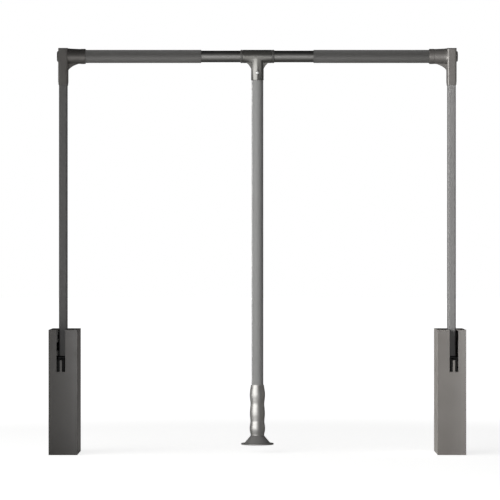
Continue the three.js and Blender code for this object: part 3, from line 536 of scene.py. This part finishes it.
def fastener_tree():
    """Geometry nodes that set a fastener on each point, its head along the point's heading."""
    tree, given = new_tree(
        "set_fasteners", Geometry=("Places",), Object=("Fastener",), Float=("Size",),
        Material=("Finish",),
    )
    heading = add_node(
        tree, "GeometryNodeInputNamedAttribute", {"data_type": "FLOAT_VECTOR"}, {"Name": "heading"}
    )
    turn = add_node(
        tree, "FunctionNodeAlignRotationToVector", {"axis": "Z"},
        {"Vector": heading.outputs["Attribute"]},
    )
    pattern = add_node(
        tree, "GeometryNodeObjectInfo", {}, {"Object": given["Fastener"], "As Instance": True}
    )
    placed = add_node(tree, "GeometryNodeInstanceOnPoints", {}, {
        "Points": given["Places"], "Instance": pattern.outputs["Geometry"],
        "Rotation": turn.outputs["Rotation"], "Scale": given["Size"],
    })
    return end_tree(tree, placed.outputs["Instances"], given["Finish"])


fastening = fastener_tree()
most_reach, straight = 0.45, 0.02


def fastened(name, pattern, head, axis, way, material, *nodes):
    """One piece that holds a fastener in place of each solid. They head one way along an axis, each
    seated a head's height below the end of its solid."""
    along = "xyz".index(axis)
    direction = [0, 0, 0]
    direction[along] = way
    seats = []
    for node in nodes:
        low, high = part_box(node)
        seat = (low + high) / 2
        seat[along] = (high if way > 0 else low)[along] - way * head
        seats.append(seat)
    points = bpy.data.meshes.new(name)
    points.from_pydata(seats, [], [])
    for item in points.attributes.new("heading", "FLOAT_VECTOR", "POINT").data:
        item.vector = direction
    given = {"Fastener": pattern, "Size": 1.0, "Finish": material}
    return dress(grown(name, fastening, given, points), material, *nodes)


def eased(points, ease, closed=False, steps=4):
    """Rounds the corners of a profile by ease, and by less where its sides are short."""
    rounded = []
    for i, point in enumerate(points):
        here = Vector(point)
        if not closed and i in (0, len(points) - 1):
            rounded.append(here)
            continue
        before = Vector(points[i - 1]) - here
        after = Vector(points[(i + 1) % len(points)]) - here
        bend = math.pi - before.angle(after)
        if bend < straight:
            rounded.append(here)
            continue
        shorter = min(before.length, after.length)
        reach = min(ease * math.tan(bend / 2), shorter * most_reach)
        start, end = here + before.normalized() * reach, here + after.normalized() * reach
        for k in range(steps + 1):
            way = k / steps
            rounded.append(start * (1 - way) ** 2 + here * 2 * way * (1 - way) + end * way**2)
    return rounded


# Each pattern is drawn with its head's seat at the origin and its head along +Z
at_origin, screw_sides = (0, 0, 0), 40
pan_head, pan_height, pan_shank, pan_length = 0.0039, 0.0022, 0.0017, 0.007
pan_tip, pan_taper, pan_side, pan_flat, pan_ease = 0.6, 0.85, 0.55, 0.72, 0.0008
cross_arm, cross_half, cross_depth = 0.0021, 0.00042, 0.0013
pan_screw = turned("pan_screw", eased([
    (0, -pan_length), (pan_shank * pan_tip, -pan_length), (pan_shank, -pan_length * pan_taper),
    (pan_shank, 0), (pan_head, 0), (pan_head, pan_height * pan_side),
    (pan_head * pan_flat, pan_height), (0, pan_height),
], pan_ease), "z", at_origin, screw_sides)
for x, y in ((cross_arm, cross_half), (cross_half, cross_arm)):
    slot = (pan_height - cross_depth, pan_height + overrun)
    cut(pan_screw, block("cross", (-x, x), (-y, y), slot))
soften(pan_screw, 0.0, 40)

socket_head, socket_height, socket_shank, socket_length = 0.004, 0.0013, 0.002, 0.012
socket_tip, socket_taper, socket_ease = 0.7, 0.92, 0.0003
key_radius, key_depth, socket_sink = 0.0016, 0.0008, 0.0006
socket_screw = turned("socket_screw", eased([
    (0, -socket_length), (socket_shank * socket_tip, -socket_length),
    (socket_shank, -socket_length * socket_taper), (socket_shank, 0), (socket_head, 0),
    (socket_head, socket_height), (0, socket_height),
], socket_ease), "z", at_origin, screw_sides)
key_floor, key_top = socket_height - key_depth, socket_height + overrun
cut(socket_screw, round_bar("key", key_radius, key_floor, key_top, "z", at_origin, 6))
soften(socket_screw, 0.0, 40)

rivet_head, rivet_height, rivet_shank = 0.0045, 0.002, 0.0025
low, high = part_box("left_rivet_lower")
rivet_length = high.x - low.x - rivet_height
dome = [
    (rivet_head * math.cos(math.radians(a)), rivet_height * math.sin(math.radians(a)))
    for a in range(0, 90, 12)
]
rivet = turned("rivet", [
    (0, -rivet_length), (rivet_shank, -rivet_length), (rivet_shank, 0), *dome, (0, rivet_height),
], "z", at_origin, hole_sides)
soften(rivet)

for side, outward in (("left", -1), ("right", 1)):
    fastened(
        f"{side}_elbow_screws", pan_screw, pan_height, "y", 1, black_oxide,
        f"{side}_rod_screw", f"{side}_arm_screw",
    )
    fastened(
        f"{side}_socket_screw", socket_screw, socket_height + socket_sink, "x", -outward,
        black_oxide, f"{side}_cover_screw",
    )
    fastened(
        f"{side}_rivets", rivet, rivet_height, "x", outward, zinc,
        f"{side}_rivet_lower", f"{side}_rivet_upper",
    )

# Arms: flat steel tube with round corners, 28 by 16 mm, painted. Each turns on the bush at its foot,
# and its top stands in the elbow, where a screw holds it from behind.
arm_wall, arm_corner = 0.0015, 0.003
corner_steps = 8
bush_hole, rivet_hole = 0.0073, 0.0028
arm_edge = 0.0003


def extruded(name, outline, axis, start, end):
    """Pushes a flat outline along an axis: (y, z) points along x, (x, z) along y, (x, y) along z."""
    across, up = {"x": (1, 2), "y": (0, 2), "z": (0, 1)}[axis]
    vertices = []
    for place in (start, end):
        for one, two in outline:
            point = [place] * 3
            point[across], point[up] = one, two
            vertices.append(point)
    count = len(outline)
    sides = [(i, (i + 1) % count, (i + 1) % count + count, i + count) for i in range(count)]
    return shape(name, vertices, [range(count), range(count, count * 2), *sides])


def arc_corners(low, high, radius):
    """A rectangle between two corners, with its own corners round."""
    (left, bottom), (right, top) = low, high
    outline = []
    for i, (x, y) in enumerate(((right, top), (left, top), (left, bottom), (right, bottom))):
        centre_x = x - math.copysign(radius, x - (left + right) / 2)
        centre_y = y - math.copysign(radius, y - (bottom + top) / 2)
        for k in range(corner_steps + 1):
            angle = math.pi / 2 * (i + k / corner_steps)
            outline.append((centre_x + radius * math.cos(angle), centre_y + radius * math.sin(angle)))
    return outline


# Satin graphite paint on drawn tube: duller than on the housings, with a peel drawn 4 mm across
arm_paint = grained("satin_graphite_paint_on_tube", "#626160", "#696867", 0.55, 0.15, 0.004)

holes = [(bush_hole, joint_of["left_swing"]["pos_m"][2])]
for name in ("left_rivet_lower", "left_rivet_upper"):
    low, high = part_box(name)
    holes.append((rivet_hole, (low.z + high.z) / 2))
arm_depth = (arm_low.y + arm_high.y) / 2
for side in both_sides:
    arm = extruded(
        f"{side}_arm", arc_corners(arm_low.xy, arm_high.xy, arm_corner), "z", arm_low.z, arm_high.z
    )
    inset = Vector((arm_wall, arm_wall))
    cut(arm, extruded(
        "bore", arc_corners(arm_low.xy + inset, arm_high.xy - inset, arm_corner - arm_wall), "z",
        arm_low.z - overrun, arm_high.z + overrun,
    ))
    ends = (arm_low.x - overrun, arm_high.x + overrun)
    for radius, height in holes:
        cut(arm, round_bar("hole", radius, *ends, "x", (0, arm_depth, height), hole_sides))
    dress(soften(sided(arm, side), arm_edge, 40), arm_paint, f"{side}_arm_tube")

# Elbows: moulded glass-filled nylon in graphite. A square sleeve takes the arm, a tapered socket with a
# lip takes the rod, a web stiffens the corner, and a round cap closes the outer end.
elbow_corner, elbow_top_corner = 0.004, 0.0035
elbow_edge = 0.001
elbow_taper_height, elbow_taper_depth = 0.008, 0.0009
fit_gap = 0.0003
socket_root_wall, socket_lip_wall = 0.0026, 0.0017
lip_length, lip_step, root_ring, lip_ease = 0.0093, 0.00035, 0.0036, 0.0008
bore_floor = 0.0055
web_half, web_reach, web_drop, web_bow = 0.004, 0.0275, 0.0178, 0.33
web_root, web_edge = 0.001, 0.0008
screw_bore, screw_seat = 0.002, 0.0042
cap_dish, cap_ring, cap_bevel, cap_spigot, cap_ease = 0.0006, 0.0078, 0.0012, 0.006, 0.0006

elbow_low, elbow_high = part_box("left_elbow")
tube_low, tube_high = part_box("left_outer_tube")
tube_radius = (tube_high.z - tube_low.z) / 2
tube_bore = tube_radius + fit_gap
rod_centre = (0, (tube_low.y + tube_high.y) / 2, (tube_low.z + tube_high.z) / 2)
rod_depth, rod_height = rod_centre[1:]
elbow_half = arm_x - elbow_low.x
elbow_face = arm_x + elbow_half


def corner_web(corner_x, corner_z, reach, drop, bow, half, edge, way=1, steps=14):
    """A web hollowed by a curve, in the corner between an upright and a level piece."""
    corner, pull = (corner_x, corner_z), (corner_x + reach * bow * bow, corner_z - drop * bow)
    start, end = Vector((corner_x, corner_z - drop)), Vector((corner_x + reach, corner_z))
    outline = [corner]
    for k in range(steps + 1):
        share = k / steps
        bend = Vector(pull) * 2 * share * (1 - share)
        outline.append(start * (1 - share) ** 2 + bend + end * share**2)
    web = extruded("web", [(way * x, z) for x, z in outline], "y", rod_depth - half, rod_depth + half)
    return soften(web, edge, 50)


def elbow_body(name):
    """The sleeve with its eased square top, drawn from the side, from above and from the front."""
    (left, front, foot), (_, back, top) = elbow_low, elbow_high
    profile = arc_corners((front, foot - elbow_top_corner), (back, top), elbow_top_corner)
    sleeve = extruded(name, profile, "x", left, elbow_face)
    plan = arc_corners((left, front), (elbow_face, back), elbow_corner)
    cut(sleeve, extruded("plan", plan, "z", foot - overrun, top + overrun), "INTERSECT")
    narrow = elbow_half - elbow_taper_depth
    shoulder = foot + elbow_taper_height
    outline = [
        (arm_x - narrow, foot), (arm_x + narrow, foot), (elbow_face, shoulder), (elbow_face, top),
        (left, top), (left, shoulder),
    ]
    return cut(sleeve, extruded("front", outline, "y", front - overrun, back + overrun), "INTERSECT")


# Graphite nylon, moulded: satin, with a fine grain drawn at 2 mm so that it shows
elbow_nylon = grained("graphite_nylon_moulded", "#716e6b", "#787572", 0.4, 0.4, 0.002)
# The caps' own plastic is darker and duller
cap_plastic = grained("dark_graphite_plastic", "#413e3b", "#484542", 0.5, 0.2, 0.002)

for side in both_sides:
    elbow = elbow_body(f"{side}_elbow_moulding")
    root, lip = tube_bore + socket_root_wall, tube_bore + socket_lip_wall
    band = elbow_high.x - lip_length
    socket = turned("socket", eased([
        (0, arm_x), (root, arm_x), (root, elbow_face + root_ring),
        (root - lip_step, elbow_face + root_ring + lip_step),
        (lip - lip_step, band - lip_step * 2), (lip, band), (lip, elbow_high.x), (0, elbow_high.x),
    ], lip_ease), "x", rod_centre)
    soften(elbow, elbow_edge, 35)
    cut(elbow, corner_web(
        elbow_face - web_root, rod_height - tube_radius, web_reach, web_drop, web_bow, web_half,
        web_edge,
    ), "UNION")
    cut(elbow, socket, "UNION")
    ends = (elbow_low.x + bore_floor, elbow_high.x + overrun)
    cut(elbow, round_bar("rod_bore", tube_bore, *ends, "x", rod_centre))
    gap = Vector((fit_gap, fit_gap))
    cut(elbow, extruded(
        "arm_bore", arc_corners(arm_low.xy - gap, arm_high.xy + gap, arm_corner + fit_gap), "z",
        elbow_low.z - overrun, arm_high.z + fit_gap,
    ))
    low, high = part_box("left_rod_screw")
    seat = high.y - pan_height - fit_gap
    cut(elbow, turned("screw_seat", [
        (0, rod_depth), (screw_bore, rod_depth), (screw_bore, seat), (screw_seat, seat),
        (screw_seat, high.y + overrun), (0, high.y + overrun),
    ], "y", (low + high) / 2, hole_sides))
    low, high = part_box("left_arm_screw")
    ends = (rod_depth, high.y + overrun)
    cut(elbow, round_bar("screw_hole", screw_bore, *ends, "y", (low + high) / 2, hole_sides))
    dress(soften(sided(elbow, side)), elbow_nylon, f"{side}_elbow")

    low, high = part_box("left_end_cap")
    radius = (high.z - low.z) / 2
    seat = elbow_low.x - fit_gap
    cap = turned(f"{side}_round_cap", eased([
        (0, low.x + cap_dish), (cap_ring - cap_dish, low.x + cap_dish), (cap_ring, low.x),
        (radius - cap_bevel, low.x), (radius, low.x + cap_bevel), (radius, seat),
        (cap_spigot, seat), (cap_spigot, high.x), (0, high.x),
    ], cap_ease), "x", rod_centre)
    dress(soften(sided(cap, side)), cap_plastic, f"{side}_end_cap")

# Outer rod tubes: 26 mm steel closet tube, painted like the arms but duller, each fixed in its elbow
# and open at the mouth where the inner tube slides in. The mouths are lightly rolled.
outer_wall, tube_mouth = 0.001, 0.0004
fine_sides = 128
sheen_weight, sheen_roughness = 0.25, 0.4


def pipe(name, radius, wall, start, end, axis="x"):
    """A tube on the axis of the hanging rod or of the pull rod, with its end edges eased."""
    ring = [(radius, start), (radius, end), (radius - wall, end), (radius - wall, start)]
    return turned(name, eased(ring, tube_mouth, True), axis, rod_centre, fine_sides)


# Matt graphite paint on the rod: dry looking, with hardly any highlight, and a peel drawn at 5 mm
rod_paint = grained("matt_graphite_paint_on_tube", "#6b6a68", "#71706e", 0.6, 0.1, 0.005)
rod_sheen = rod_paint.node_tree.nodes["Principled BSDF"].inputs
rod_sheen["Sheen Weight"].default_value = sheen_weight
rod_sheen["Sheen Roughness"].default_value = sheen_roughness
for side in both_sides:
    tube = pipe(f"{side}_rod_tube", tube_radius, outer_wall, tube_low.x, tube_high.x)
    dress(soften(sided(tube, side)), rod_paint, f"{side}_outer_tube")

# Inner rod tube: one length of satin plated steel that slides in both outer tubes, so that the set
# fits its wardrobe. The tee is held in the middle of it by two bevelled stop collars.
inner_wall = 0.0012
collar_bevel, collar_ease = 0.0009, 0.0004
line_width, line_repeat, line_height = 0.0012, 4.0, 0.000003

# Dark satin nickel on the sliding tube, with fine polishing lines along it
rod_plate = plated("dark_satin_nickel", "#747371", "#7b7a78", 0.46, tone_drift)
tree = rod_plate.node_tree
lines = add_node(tree, "ShaderNodeMapping", {}, {
    "Vector": add_node(tree, "ShaderNodeTexCoord").outputs["Object"],
    "Scale": (line_repeat, 1 / line_width, 1 / line_width),
})
raised(rod_plate, lines.outputs["Vector"], 1.0, line_height)
low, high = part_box("inner_tube")
inner_radius = (high.z - low.z) / 2
inner_bore = inner_radius + fit_gap
tube = pipe("sliding_tube", inner_radius, inner_wall, low.x, high.x)
dress(soften(tube), rod_plate, "inner_tube")

# Graphite plastic with a satin gloss, as moulded in a polished tool, for the tee and its collars
tee_plastic = grained(
    "graphite_plastic_satin_gloss", "#706f6c", "#777673", 0.24, 0.7, 0.004, 0.000002
)
# The same plastic from a plainer tool
collar_plastic = grained("graphite_plastic_satin", "#5a5957", "#61605e", 0.45, 0.3, 0.003)
# The collars are drawn on the right, so it is the left one that is turned over
low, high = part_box("collar_right")
radius = (high.z - low.z) / 2
for side, turn in (("left", "right"), ("right", "left")):
    collar = turned(f"stop_collar_{side}", eased([
        (inner_bore, low.x), (radius, low.x), (radius, high.x - collar_bevel),
        (radius - collar_bevel, high.x), (inner_bore, high.x),
    ], collar_ease, True), "x", rod_centre)
    dress(soften(sided(collar, turn)), collar_plastic, f"collar_{side}")

# Tee: a moulded barrel that turns on the inner tube, with a stem for the pull rod. The stem runs up
# into the barrel with a crisp pointed arch, and a thin web fills each corner.
stem_radius, stem_wall, stem_roof = 0.0124, 0.0029, 0.0045
tee_web_half, tee_web_reach, tee_web_drop, tee_web_bow = 0.004, 0.0098, 0.024, 0.36
tee_web_edge, barrel_ease, stem_ease = 0.0012, 0.0005, 0.0006
button_hole = 0.0032

tee_low, tee_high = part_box("tee")
barrel_radius = tee_high.z - rod_height
button_low, button_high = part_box("snap_button")
button_z = (button_low.z + button_high.z) / 2
stem_low, stem_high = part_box("pull_tube")
ends = (tee_low.x, tee_high.x)
tee = round_bar("tee_moulding", barrel_radius, *ends, "x", rod_centre, fine_sides, barrel_ease)
ends = (tee_low.z, rod_height)
stem = round_bar("stem", stem_radius, *ends, "z", rod_centre, fine_sides, stem_ease)
cut(tee, stem, "UNION")
stem_bore = stem_radius - stem_wall
for way in (1, -1):
    cut(tee, corner_web(
        stem_bore, rod_height - inner_bore, tee_web_reach + stem_wall, tee_web_drop, tee_web_bow,
        tee_web_half, tee_web_edge, way,
    ), "UNION")
ends = (tee_low.x - overrun, tee_high.x + overrun)
cut(tee, round_bar("barrel_bore", inner_bore, *ends, "x", rod_centre, fine_sides))
ends = (tee_low.z - overrun, rod_height - inner_bore - stem_roof)
cut(tee, round_bar("stem_bore", stem_bore, *ends, "z", rod_centre))
ends = (rod_depth - stem_radius - overrun, rod_depth)
cut(tee, round_bar("button_hole", button_hole, *ends, "y", (0, 0, button_z), 48))
dress(soften(tee), tee_plastic, "tee")

# Snap button: a turned steel pin with a bright domed end. It clicks out through the stem and locks the
# pull rod in it; pressing it lets the rod be taken off.
button_radius, button_flange, flange_length = 0.0029, 0.004, 0.001
# Satin chrome with a near-white diffuse share that paints the dome's highlight: the whole dome glows
# white, with no mirror image in it
chrome_painted_highlight = plated("satin_chrome", "#f0f0ee", "#f4f4f2", 0.45, 0.01, 0.6)
dome_height = 0.0014
back, flange = button_high.y, button_high.y - flange_length
dome = [
    (button_radius * math.sin(math.radians(a)),
     button_low.y + dome_height * (1 - math.cos(math.radians(a))))
    for a in range(0, 91, 9)
]
button = turned("domed_button", [
    *dome, (button_radius, flange), (button_flange, flange), (button_flange, back), (0, back),
], "y", (0, 0, button_z), 64)
dress(soften(button), chrome_painted_highlight, "snap_button")

# Pull rod: steel tube with a silver grey lacquer, baked on. Its top takes the plug that carries the
# button, and its foot is pressed into the grip.
pull_wall = 0.0012
# Baked silver grey lacquer: soft and milky, with a little metal in it
handle_plate = grained(
    "silver_grey_lacquer_on_tube", "#828281", "#898988", 0.6, 0.05, 0.004, 0.000006
)
pull_radius = (stem_high.x - stem_low.x) / 2
tube = pipe("pull_rod_tube", pull_radius, pull_wall, stem_low.z, stem_high.z, "z")
dress(soften(tube), handle_plate, "pull_tube")

# Grip: cast in grey metal, polished to a satin shine, with three swells for the fingers. Its outline is
# a smooth line through the swells and waists, grown by geometry nodes, then bored for the tube.
grip_radius, grip_floor = 0.0152, 0.028
grip_steps = 120
# Share of the grip's length from the top, and share of its radius
swells = (
    (0, 0.845), (0.04, 0.88), (0.115, 0.96), (0.21, 1), (0.3, 0.95), (0.375, 0.9), (0.46, 0.945),
    (0.578, 0.985), (0.67, 0.935), (0.727, 0.91), (0.79, 0.965), (0.869, 1.01), (0.94, 0.945),
    (0.98, 0.89), (1, 0.88),
)


def grip_tree():
    """Geometry nodes that draw a round bar whose radius follows a curve along its length."""
    tree, size = new_tree("swelled_bar", Float=("Length", "Radius"), Material=("Finish",))
    factor = add_node(tree, "GeometryNodeSplineParameter").outputs["Factor"]
    swell = add_node(tree, "ShaderNodeFloatCurve", {}, {"Value": factor})
    curve = swell.mapping.curves[0]
    for _ in swells[2:]:
        curve.points.new(0.5, 0.5)
    # The curve ends at 1 and a swell goes beyond it, so the shares are drawn at half and doubled
    for point, (share, radius_share) in zip(curve.points, swells):
        point.location = (share, radius_share / 2)
    swell.mapping.update()
    doubled = add_node(
        tree, "ShaderNodeMath", {"operation": "MULTIPLY"}, {0: swell.outputs["Value"], 1: 2.0}
    )
    down = add_node(tree, "ShaderNodeMath", {"operation": "MULTIPLY"}, {0: size["Length"], 1: -1.0})
    end = add_node(tree, "ShaderNodeCombineXYZ", {}, {"Z": down.outputs[0]})
    line = add_node(tree, "GeometryNodeCurvePrimitiveLine", {}, {"End": end.outputs["Vector"]})
    path = add_node(
        tree, "GeometryNodeResampleCurve", {},
        {"Curve": line.outputs["Curve"], "Count": grip_steps},
    )
    ring = add_node(
        tree, "GeometryNodeCurvePrimitiveCircle", {},
        {"Resolution": fine_sides, "Radius": size["Radius"]},
    )
    body = add_node(tree, "GeometryNodeCurveToMesh", {}, {
        "Curve": path.outputs["Curve"], "Profile Curve": ring.outputs["Curve"],
        "Scale": doubled.outputs[0], "Fill Caps": True,
    })
    return end_tree(tree, body.outputs["Mesh"], size["Finish"])


# Polished satin grey metal: a bright broad highlight with soft ends
grip_metal = plated("satin_polished_grey_metal", "#b4b3b0", "#bcbbb8", 0.48, 0.02)
low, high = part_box("grip")
grip = grown("swelled_grip", grip_tree(), {
    "Length": high.z - low.z, "Radius": grip_radius, "Finish": grip_metal,
})
grip.data.transform(Matrix.Translation((0, rod_depth, high.z)))
ends = (low.z + grip_floor, high.z + overrun)
cut(grip, round_bar("grip_bore", pull_radius + fit_gap, *ends, "z", rod_centre, fine_sides))
dress(soften(grip, 0.0, 40), grip_metal, "grip")

# Bell: a hollow moulded foot under the grip that keeps the hand from slipping off. A screw through the
# boss inside it holds it to the grip.
bell_rim_height, bell_cone, bell_neck, bell_wall = 0.0032, 0.0258, 0.0134, 0.0024
bell_boss, bell_boss_length, bell_hole = 0.007, 0.01, 0.0028
bell_ease, ease_steps = 0.0014, 6
low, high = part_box("bell")
rim, foot, top = (high.x - low.x) / 2, low.z, high.z
rim_top, roof, boss_end = foot + bell_rim_height, top - bell_wall, top - bell_boss_length
bell = turned("bell_foot", eased([
    (rim - bell_wall, foot), (rim, foot), (rim, rim_top), (bell_cone, rim_top), (bell_neck, top),
    (bell_hole, top), (bell_hole, boss_end), (bell_boss, boss_end), (bell_boss, roof),
    (bell_neck - bell_wall, roof), (bell_cone - bell_wall, rim_top),
    (bell_cone, foot + bell_rim_height / 2),
], bell_ease, True, ease_steps), "z", rod_centre, fine_sides)
# Graphite plastic, moulded: satin, a little lighter than the collars
bell_plastic = grained("graphite_plastic_bell", "#757472", "#7d7c7a", 0.38, 0.1, 0.003)
dress(soften(bell), bell_plastic, "bell")
fastened("bell_pan_screw", pan_screw, pan_height, "z", -1, zinc, "bell_screw")
for pattern in (pan_screw, socket_screw, rivet):
    bpy.data.objects.remove(pattern)

# Room: a pale floor that runs out of sight, a white background and a dim studio all round. Soft boxes
# at the front left make the highlights, narrow ones shape single pieces, and two broad ones fill from
# behind and from the right.
beside_camera = -4.6
floor_half, floor_depth = 20.0, (-0.002, -0.0005)
near_floor, far_floor = 0.9, 1.8
near_white, far_white = 0.25, 1.2
towards_boxes, distance_share = (-0.6, -0.6, 0), 0.4
behind_share = 1.2
pure_white = (1, 1, 1, 1)
smoothly = {"interpolation_type": "SMOOTHSTEP"}


def soft_box(name, place, aim, width, height, power, *names, state="INCLUDE"):
    """A soft box that faces a point, unseen by the camera. It lights only the pieces whose names start
    so, or with EXCLUDE all but those."""
    lamp = bpy.data.lights.new(name, "AREA")
    lamp.shape = "RECTANGLE"
    lamp.size, lamp.size_y = width, height
    lamp.energy = power
    box = in_scene(name, lamp)
    box.location = place
    box.rotation_euler = (Vector(aim) - Vector(place)).to_track_quat("-Z", "Y").to_euler()
    box.visible_camera = False
    chosen = bpy.data.collections.new(f"{name}_pieces")
    for piece in bpy.context.scene.objects:
        if piece.name.startswith(names):
            chosen.objects.link(piece)
    for member in chosen.collection_objects:
        member.light_linking.link_state = state
    box.light_linking.receiver_collection = chosen
    return box


# A flag shades the left end, the dull rod tubes and the right elbow, which are darker than the rest
soft_box(
    "key_front_left", (-2.05, -2.15, 0.42), (0, 0, 0.42), 4.6, 2.2, 118,
    "left_", "right_rod_tube", "right_elbow_m", state="EXCLUDE",
)
# The right arm, elbow and housing stand in the light of two more, and are lighter than the left ones
soft_box(
    "wash_on_right_arm", (-1.9, -3.0, 0.42), (0.4, 0, 0.42), 3.0, 2.0, 190, "right_arm", "right_elbow_m"
)
soft_box("wash_on_right_housing", (-2.4, -2.1, 0.42), (0.4, 0, 0.12), 3.0, 2.0, 500, "right_cover")
# Cards behind whiten the housings' inner sides, which the boxes in front only graze
for side, place, aim, power in (("left", 2.0, -0.4, 45), ("right", -2.0, 0.4, 215)):
    soft_box(f"card_for_{side}", (place, 0.9, 0.3), (aim, 0, 0.12), 1.2, 1.2, power, f"{side}_cover")
# Narrow strips on the right make both housings lighter towards their right edges
for side, place, power in (("left", 0.1, 42), ("right", 1.62, 90)):
    soft_box(
        f"strip_for_{side}", (place, beside_camera, 0.25), (0, 0, 0.15), 0.3, 2.0, power, f"{side}_cover"
    )
# Light from beside the camera reaches the arms' feet, deep in their slots
for side, place in (("left", -0.42), ("right", 0.42)):
    soft_box(
        f"slot_light_{side}", (place, beside_camera, 0.3), (place, 0, 0.3), 0.3, 0.5, 28,
        f"{side}_arm", f"{side}_wall_plate",
    )
# A strip in front flattens the round of the pull rod and its foot, and one behind lights the rod's rim
soft_box(
    "strip_front", (1.0, beside_camera, 0.4), (0, 0, 0.4), 0.3, 1.6, 70, "pull_rod_tube", "bell_foot"
)
soft_box("strip_back_left", (-1.6, 1.7, 0.42), (0, 0, 0.42), 0.8, 1.6, 60, "pull_rod_tube")
# Overhead, and low in front, two more keep the long tubes light at their edges
for name, place, width, height, power in (
    ("overhead", (0, 0.1, 2.4), 1.6, 0.5, 9), ("low_front", (0, -0.7, 0.06), 1.2, 0.3, 5),
):
    soft_box(name, place, (0, 0, 0.78), width, height, power, "left_rod_tube", "right_rod_tube")


def seen_white(tree, metal_share):
    """White to the camera, white by a share to metal, and not at all to the light on the set."""
    ray = add_node(tree, "ShaderNodeLightPath").outputs
    in_metal = add_node(
        tree, "ShaderNodeMath", {"operation": "MULTIPLY"}, {0: ray["Is Glossy Ray"], 1: metal_share}
    )
    seen = add_node(
        tree, "ShaderNodeMath", {"operation": "MAXIMUM"},
        {0: ray["Is Camera Ray"], 1: ray["Is Transmission Ray"]},
    )
    return add_node(
        tree, "ShaderNodeMath", {"operation": "MAXIMUM"},
        {0: seen.outputs[0], 1: in_metal.outputs[0]},
    ).outputs[0]


room = bpy.data.worlds.new("studio")
bpy.context.scene.world = room
room.use_nodes = True
tree = room.node_tree
background = tree.nodes["Background"].inputs
direction = add_node(tree, "ShaderNodeTexCoord").outputs["Generated"]
parts = add_node(tree, "ShaderNodeSeparateXYZ", {}, {"Vector": direction}).outputs
# The paper behind the set is as wide as the view; metal sees it only there
paper = add_node(
    tree, "ShaderNodeMapRange", {}, {"Value": parts["Y"], "From Min": 0.9985, "From Max": 0.9998}
)
# The studio darkens upwards and downwards, and behind the set
height = add_node(tree, "ShaderNodeMath", {"operation": "ABSOLUTE"}, {0: parts["Z"]})
behind = add_node(tree, "ShaderNodeMath", {"operation": "MAXIMUM"}, {0: parts["Y"], 1: 0.0})
dark_way = add_node(
    tree, "ShaderNodeMath", {"operation": "MULTIPLY_ADD"},
    {0: behind.outputs[0], 1: behind_share, 2: height.outputs[0]},
)
studio = add_node(
    tree, "ShaderNodeMapRange", smoothly,
    {"Value": dark_way.outputs[0], "From Min": 0.0, "From Max": 0.8, "To Min": 0.56, "To Max": 0.06},
)
# The studio is darker on the right, away from the soft boxes
right_shade = add_node(
    tree, "ShaderNodeMapRange", smoothly,
    {"Value": parts["X"], "From Min": -0.3, "From Max": 0.1, "To Min": 1.0, "To Max": 0.3},
)
shaded = add_node(
    tree, "ShaderNodeMath", {"operation": "MULTIPLY"},
    {0: studio.outputs["Result"], 1: right_shade.outputs["Result"]},
)
strength = add_node(
    tree, "ShaderNodeMix", {"data_type": "FLOAT"},
    {"Factor": seen_white(tree, paper.outputs["Result"]), "A": shaded.outputs[0], "B": 1.0},
)
background["Color"].default_value = pure_white
tree.links.new(strength.outputs["Result"], background["Strength"])

# The floor is matt and pale, and goes over into the white background
ground = block("pale_floor", (-floor_half, floor_half), (-floor_half, floor_half), floor_depth)
paint = bpy.data.materials.new("pale_floor_paint")
paint.use_nodes = True
tree = paint.node_tree
shader = tree.nodes["Principled BSDF"].inputs
shader["Base Color"].default_value = linear("#e6e6e4")
shader["Roughness"].default_value = 0.7
place = add_node(tree, "ShaderNodeTexCoord").outputs["Object"]
distance = add_node(tree, "ShaderNodeVectorMath", {"operation": "LENGTH"}, {0: place})
glow = add_node(
    tree, "ShaderNodeMapRange", smoothly,
    {"Value": distance.outputs["Value"], "From Min": near_floor, "From Max": far_floor,
     "To Min": 0.83, "To Max": 1.0},
)
# Metal sees a painted pool of light on the floor: white from nearer at the front and the left, towards
# the soft boxes, and darker on the right and behind the set, as in the room
along_boxes = add_node(
    tree, "ShaderNodeVectorMath", {"operation": "DOT_PRODUCT"}, {0: place, 1: towards_boxes}
)
painted_pool_distance = add_node(
    tree, "ShaderNodeMath", {"operation": "MULTIPLY_ADD"},
    {0: distance.outputs["Value"], 1: distance_share, 2: along_boxes.outputs["Value"]},
)
step = add_node(
    tree, "ShaderNodeMapRange", smoothly,
    {"Value": painted_pool_distance.outputs[0], "From Min": near_white, "From Max": far_white},
)
lit = add_node(
    tree, "ShaderNodeMath", {"operation": "MULTIPLY"},
    {0: glow.outputs["Result"], 1: seen_white(tree, step.outputs["Result"])},
)
shader["Emission Color"].default_value = pure_white
tree.links.new(lit.outputs[0], shader["Emission Strength"])
ground.data.materials.append(paint)
ground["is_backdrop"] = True

# Two broad soft boxes fill the backs and the right sides, which the others leave dark. Neither is seen
# as a highlight, because sides that the camera sees almost edge on would mirror them white.
for name, place, power, *unlit in (
    ("fill_behind", (-1.4, 5.0, 0.9), 80, "pale_floor"),
    ("fill_right", (4.5, 0.5, 0.9), 110, "pale_floor", "pull_rod_tube", "bell_foot"),
):
    box = soft_box(name, place, (0, 0, 0.4), 2.0, 2.0, power, *unlit, state="EXCLUDE")
    box.visible_glossy = False

# Camera: level with the middle of the set and far off, as the photograph's nearly flat view shows. The
# set's middle stands 7.4 of the frame's 500 pixels right of centre.
frame_pixels, set_right_pixels, set_up_pixels = 500, 7.4, 0.45
camera_distance, camera_height = 6.276, 0.402
lens_length, sensor_width = 228.7, 36
view = bpy.data.cameras.new("camera")
view.lens, view.sensor_width = lens_length, sensor_width
view.shift_x, view.shift_y = -set_right_pixels / frame_pixels, -set_up_pixels / frame_pixels
camera = in_scene("camera", view)
camera.location = (0, -camera_distance, camera_height)
camera.rotation_euler = (math.radians(90), 0, 0)
bpy.context.scene.camera = camera
bpy.context.scene.view_settings.view_transform = "Standard"

boxes = {"cad": cad_box, "visual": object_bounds()}
{name: [list(corner) for corner in box] for name, box in boxes.items()}
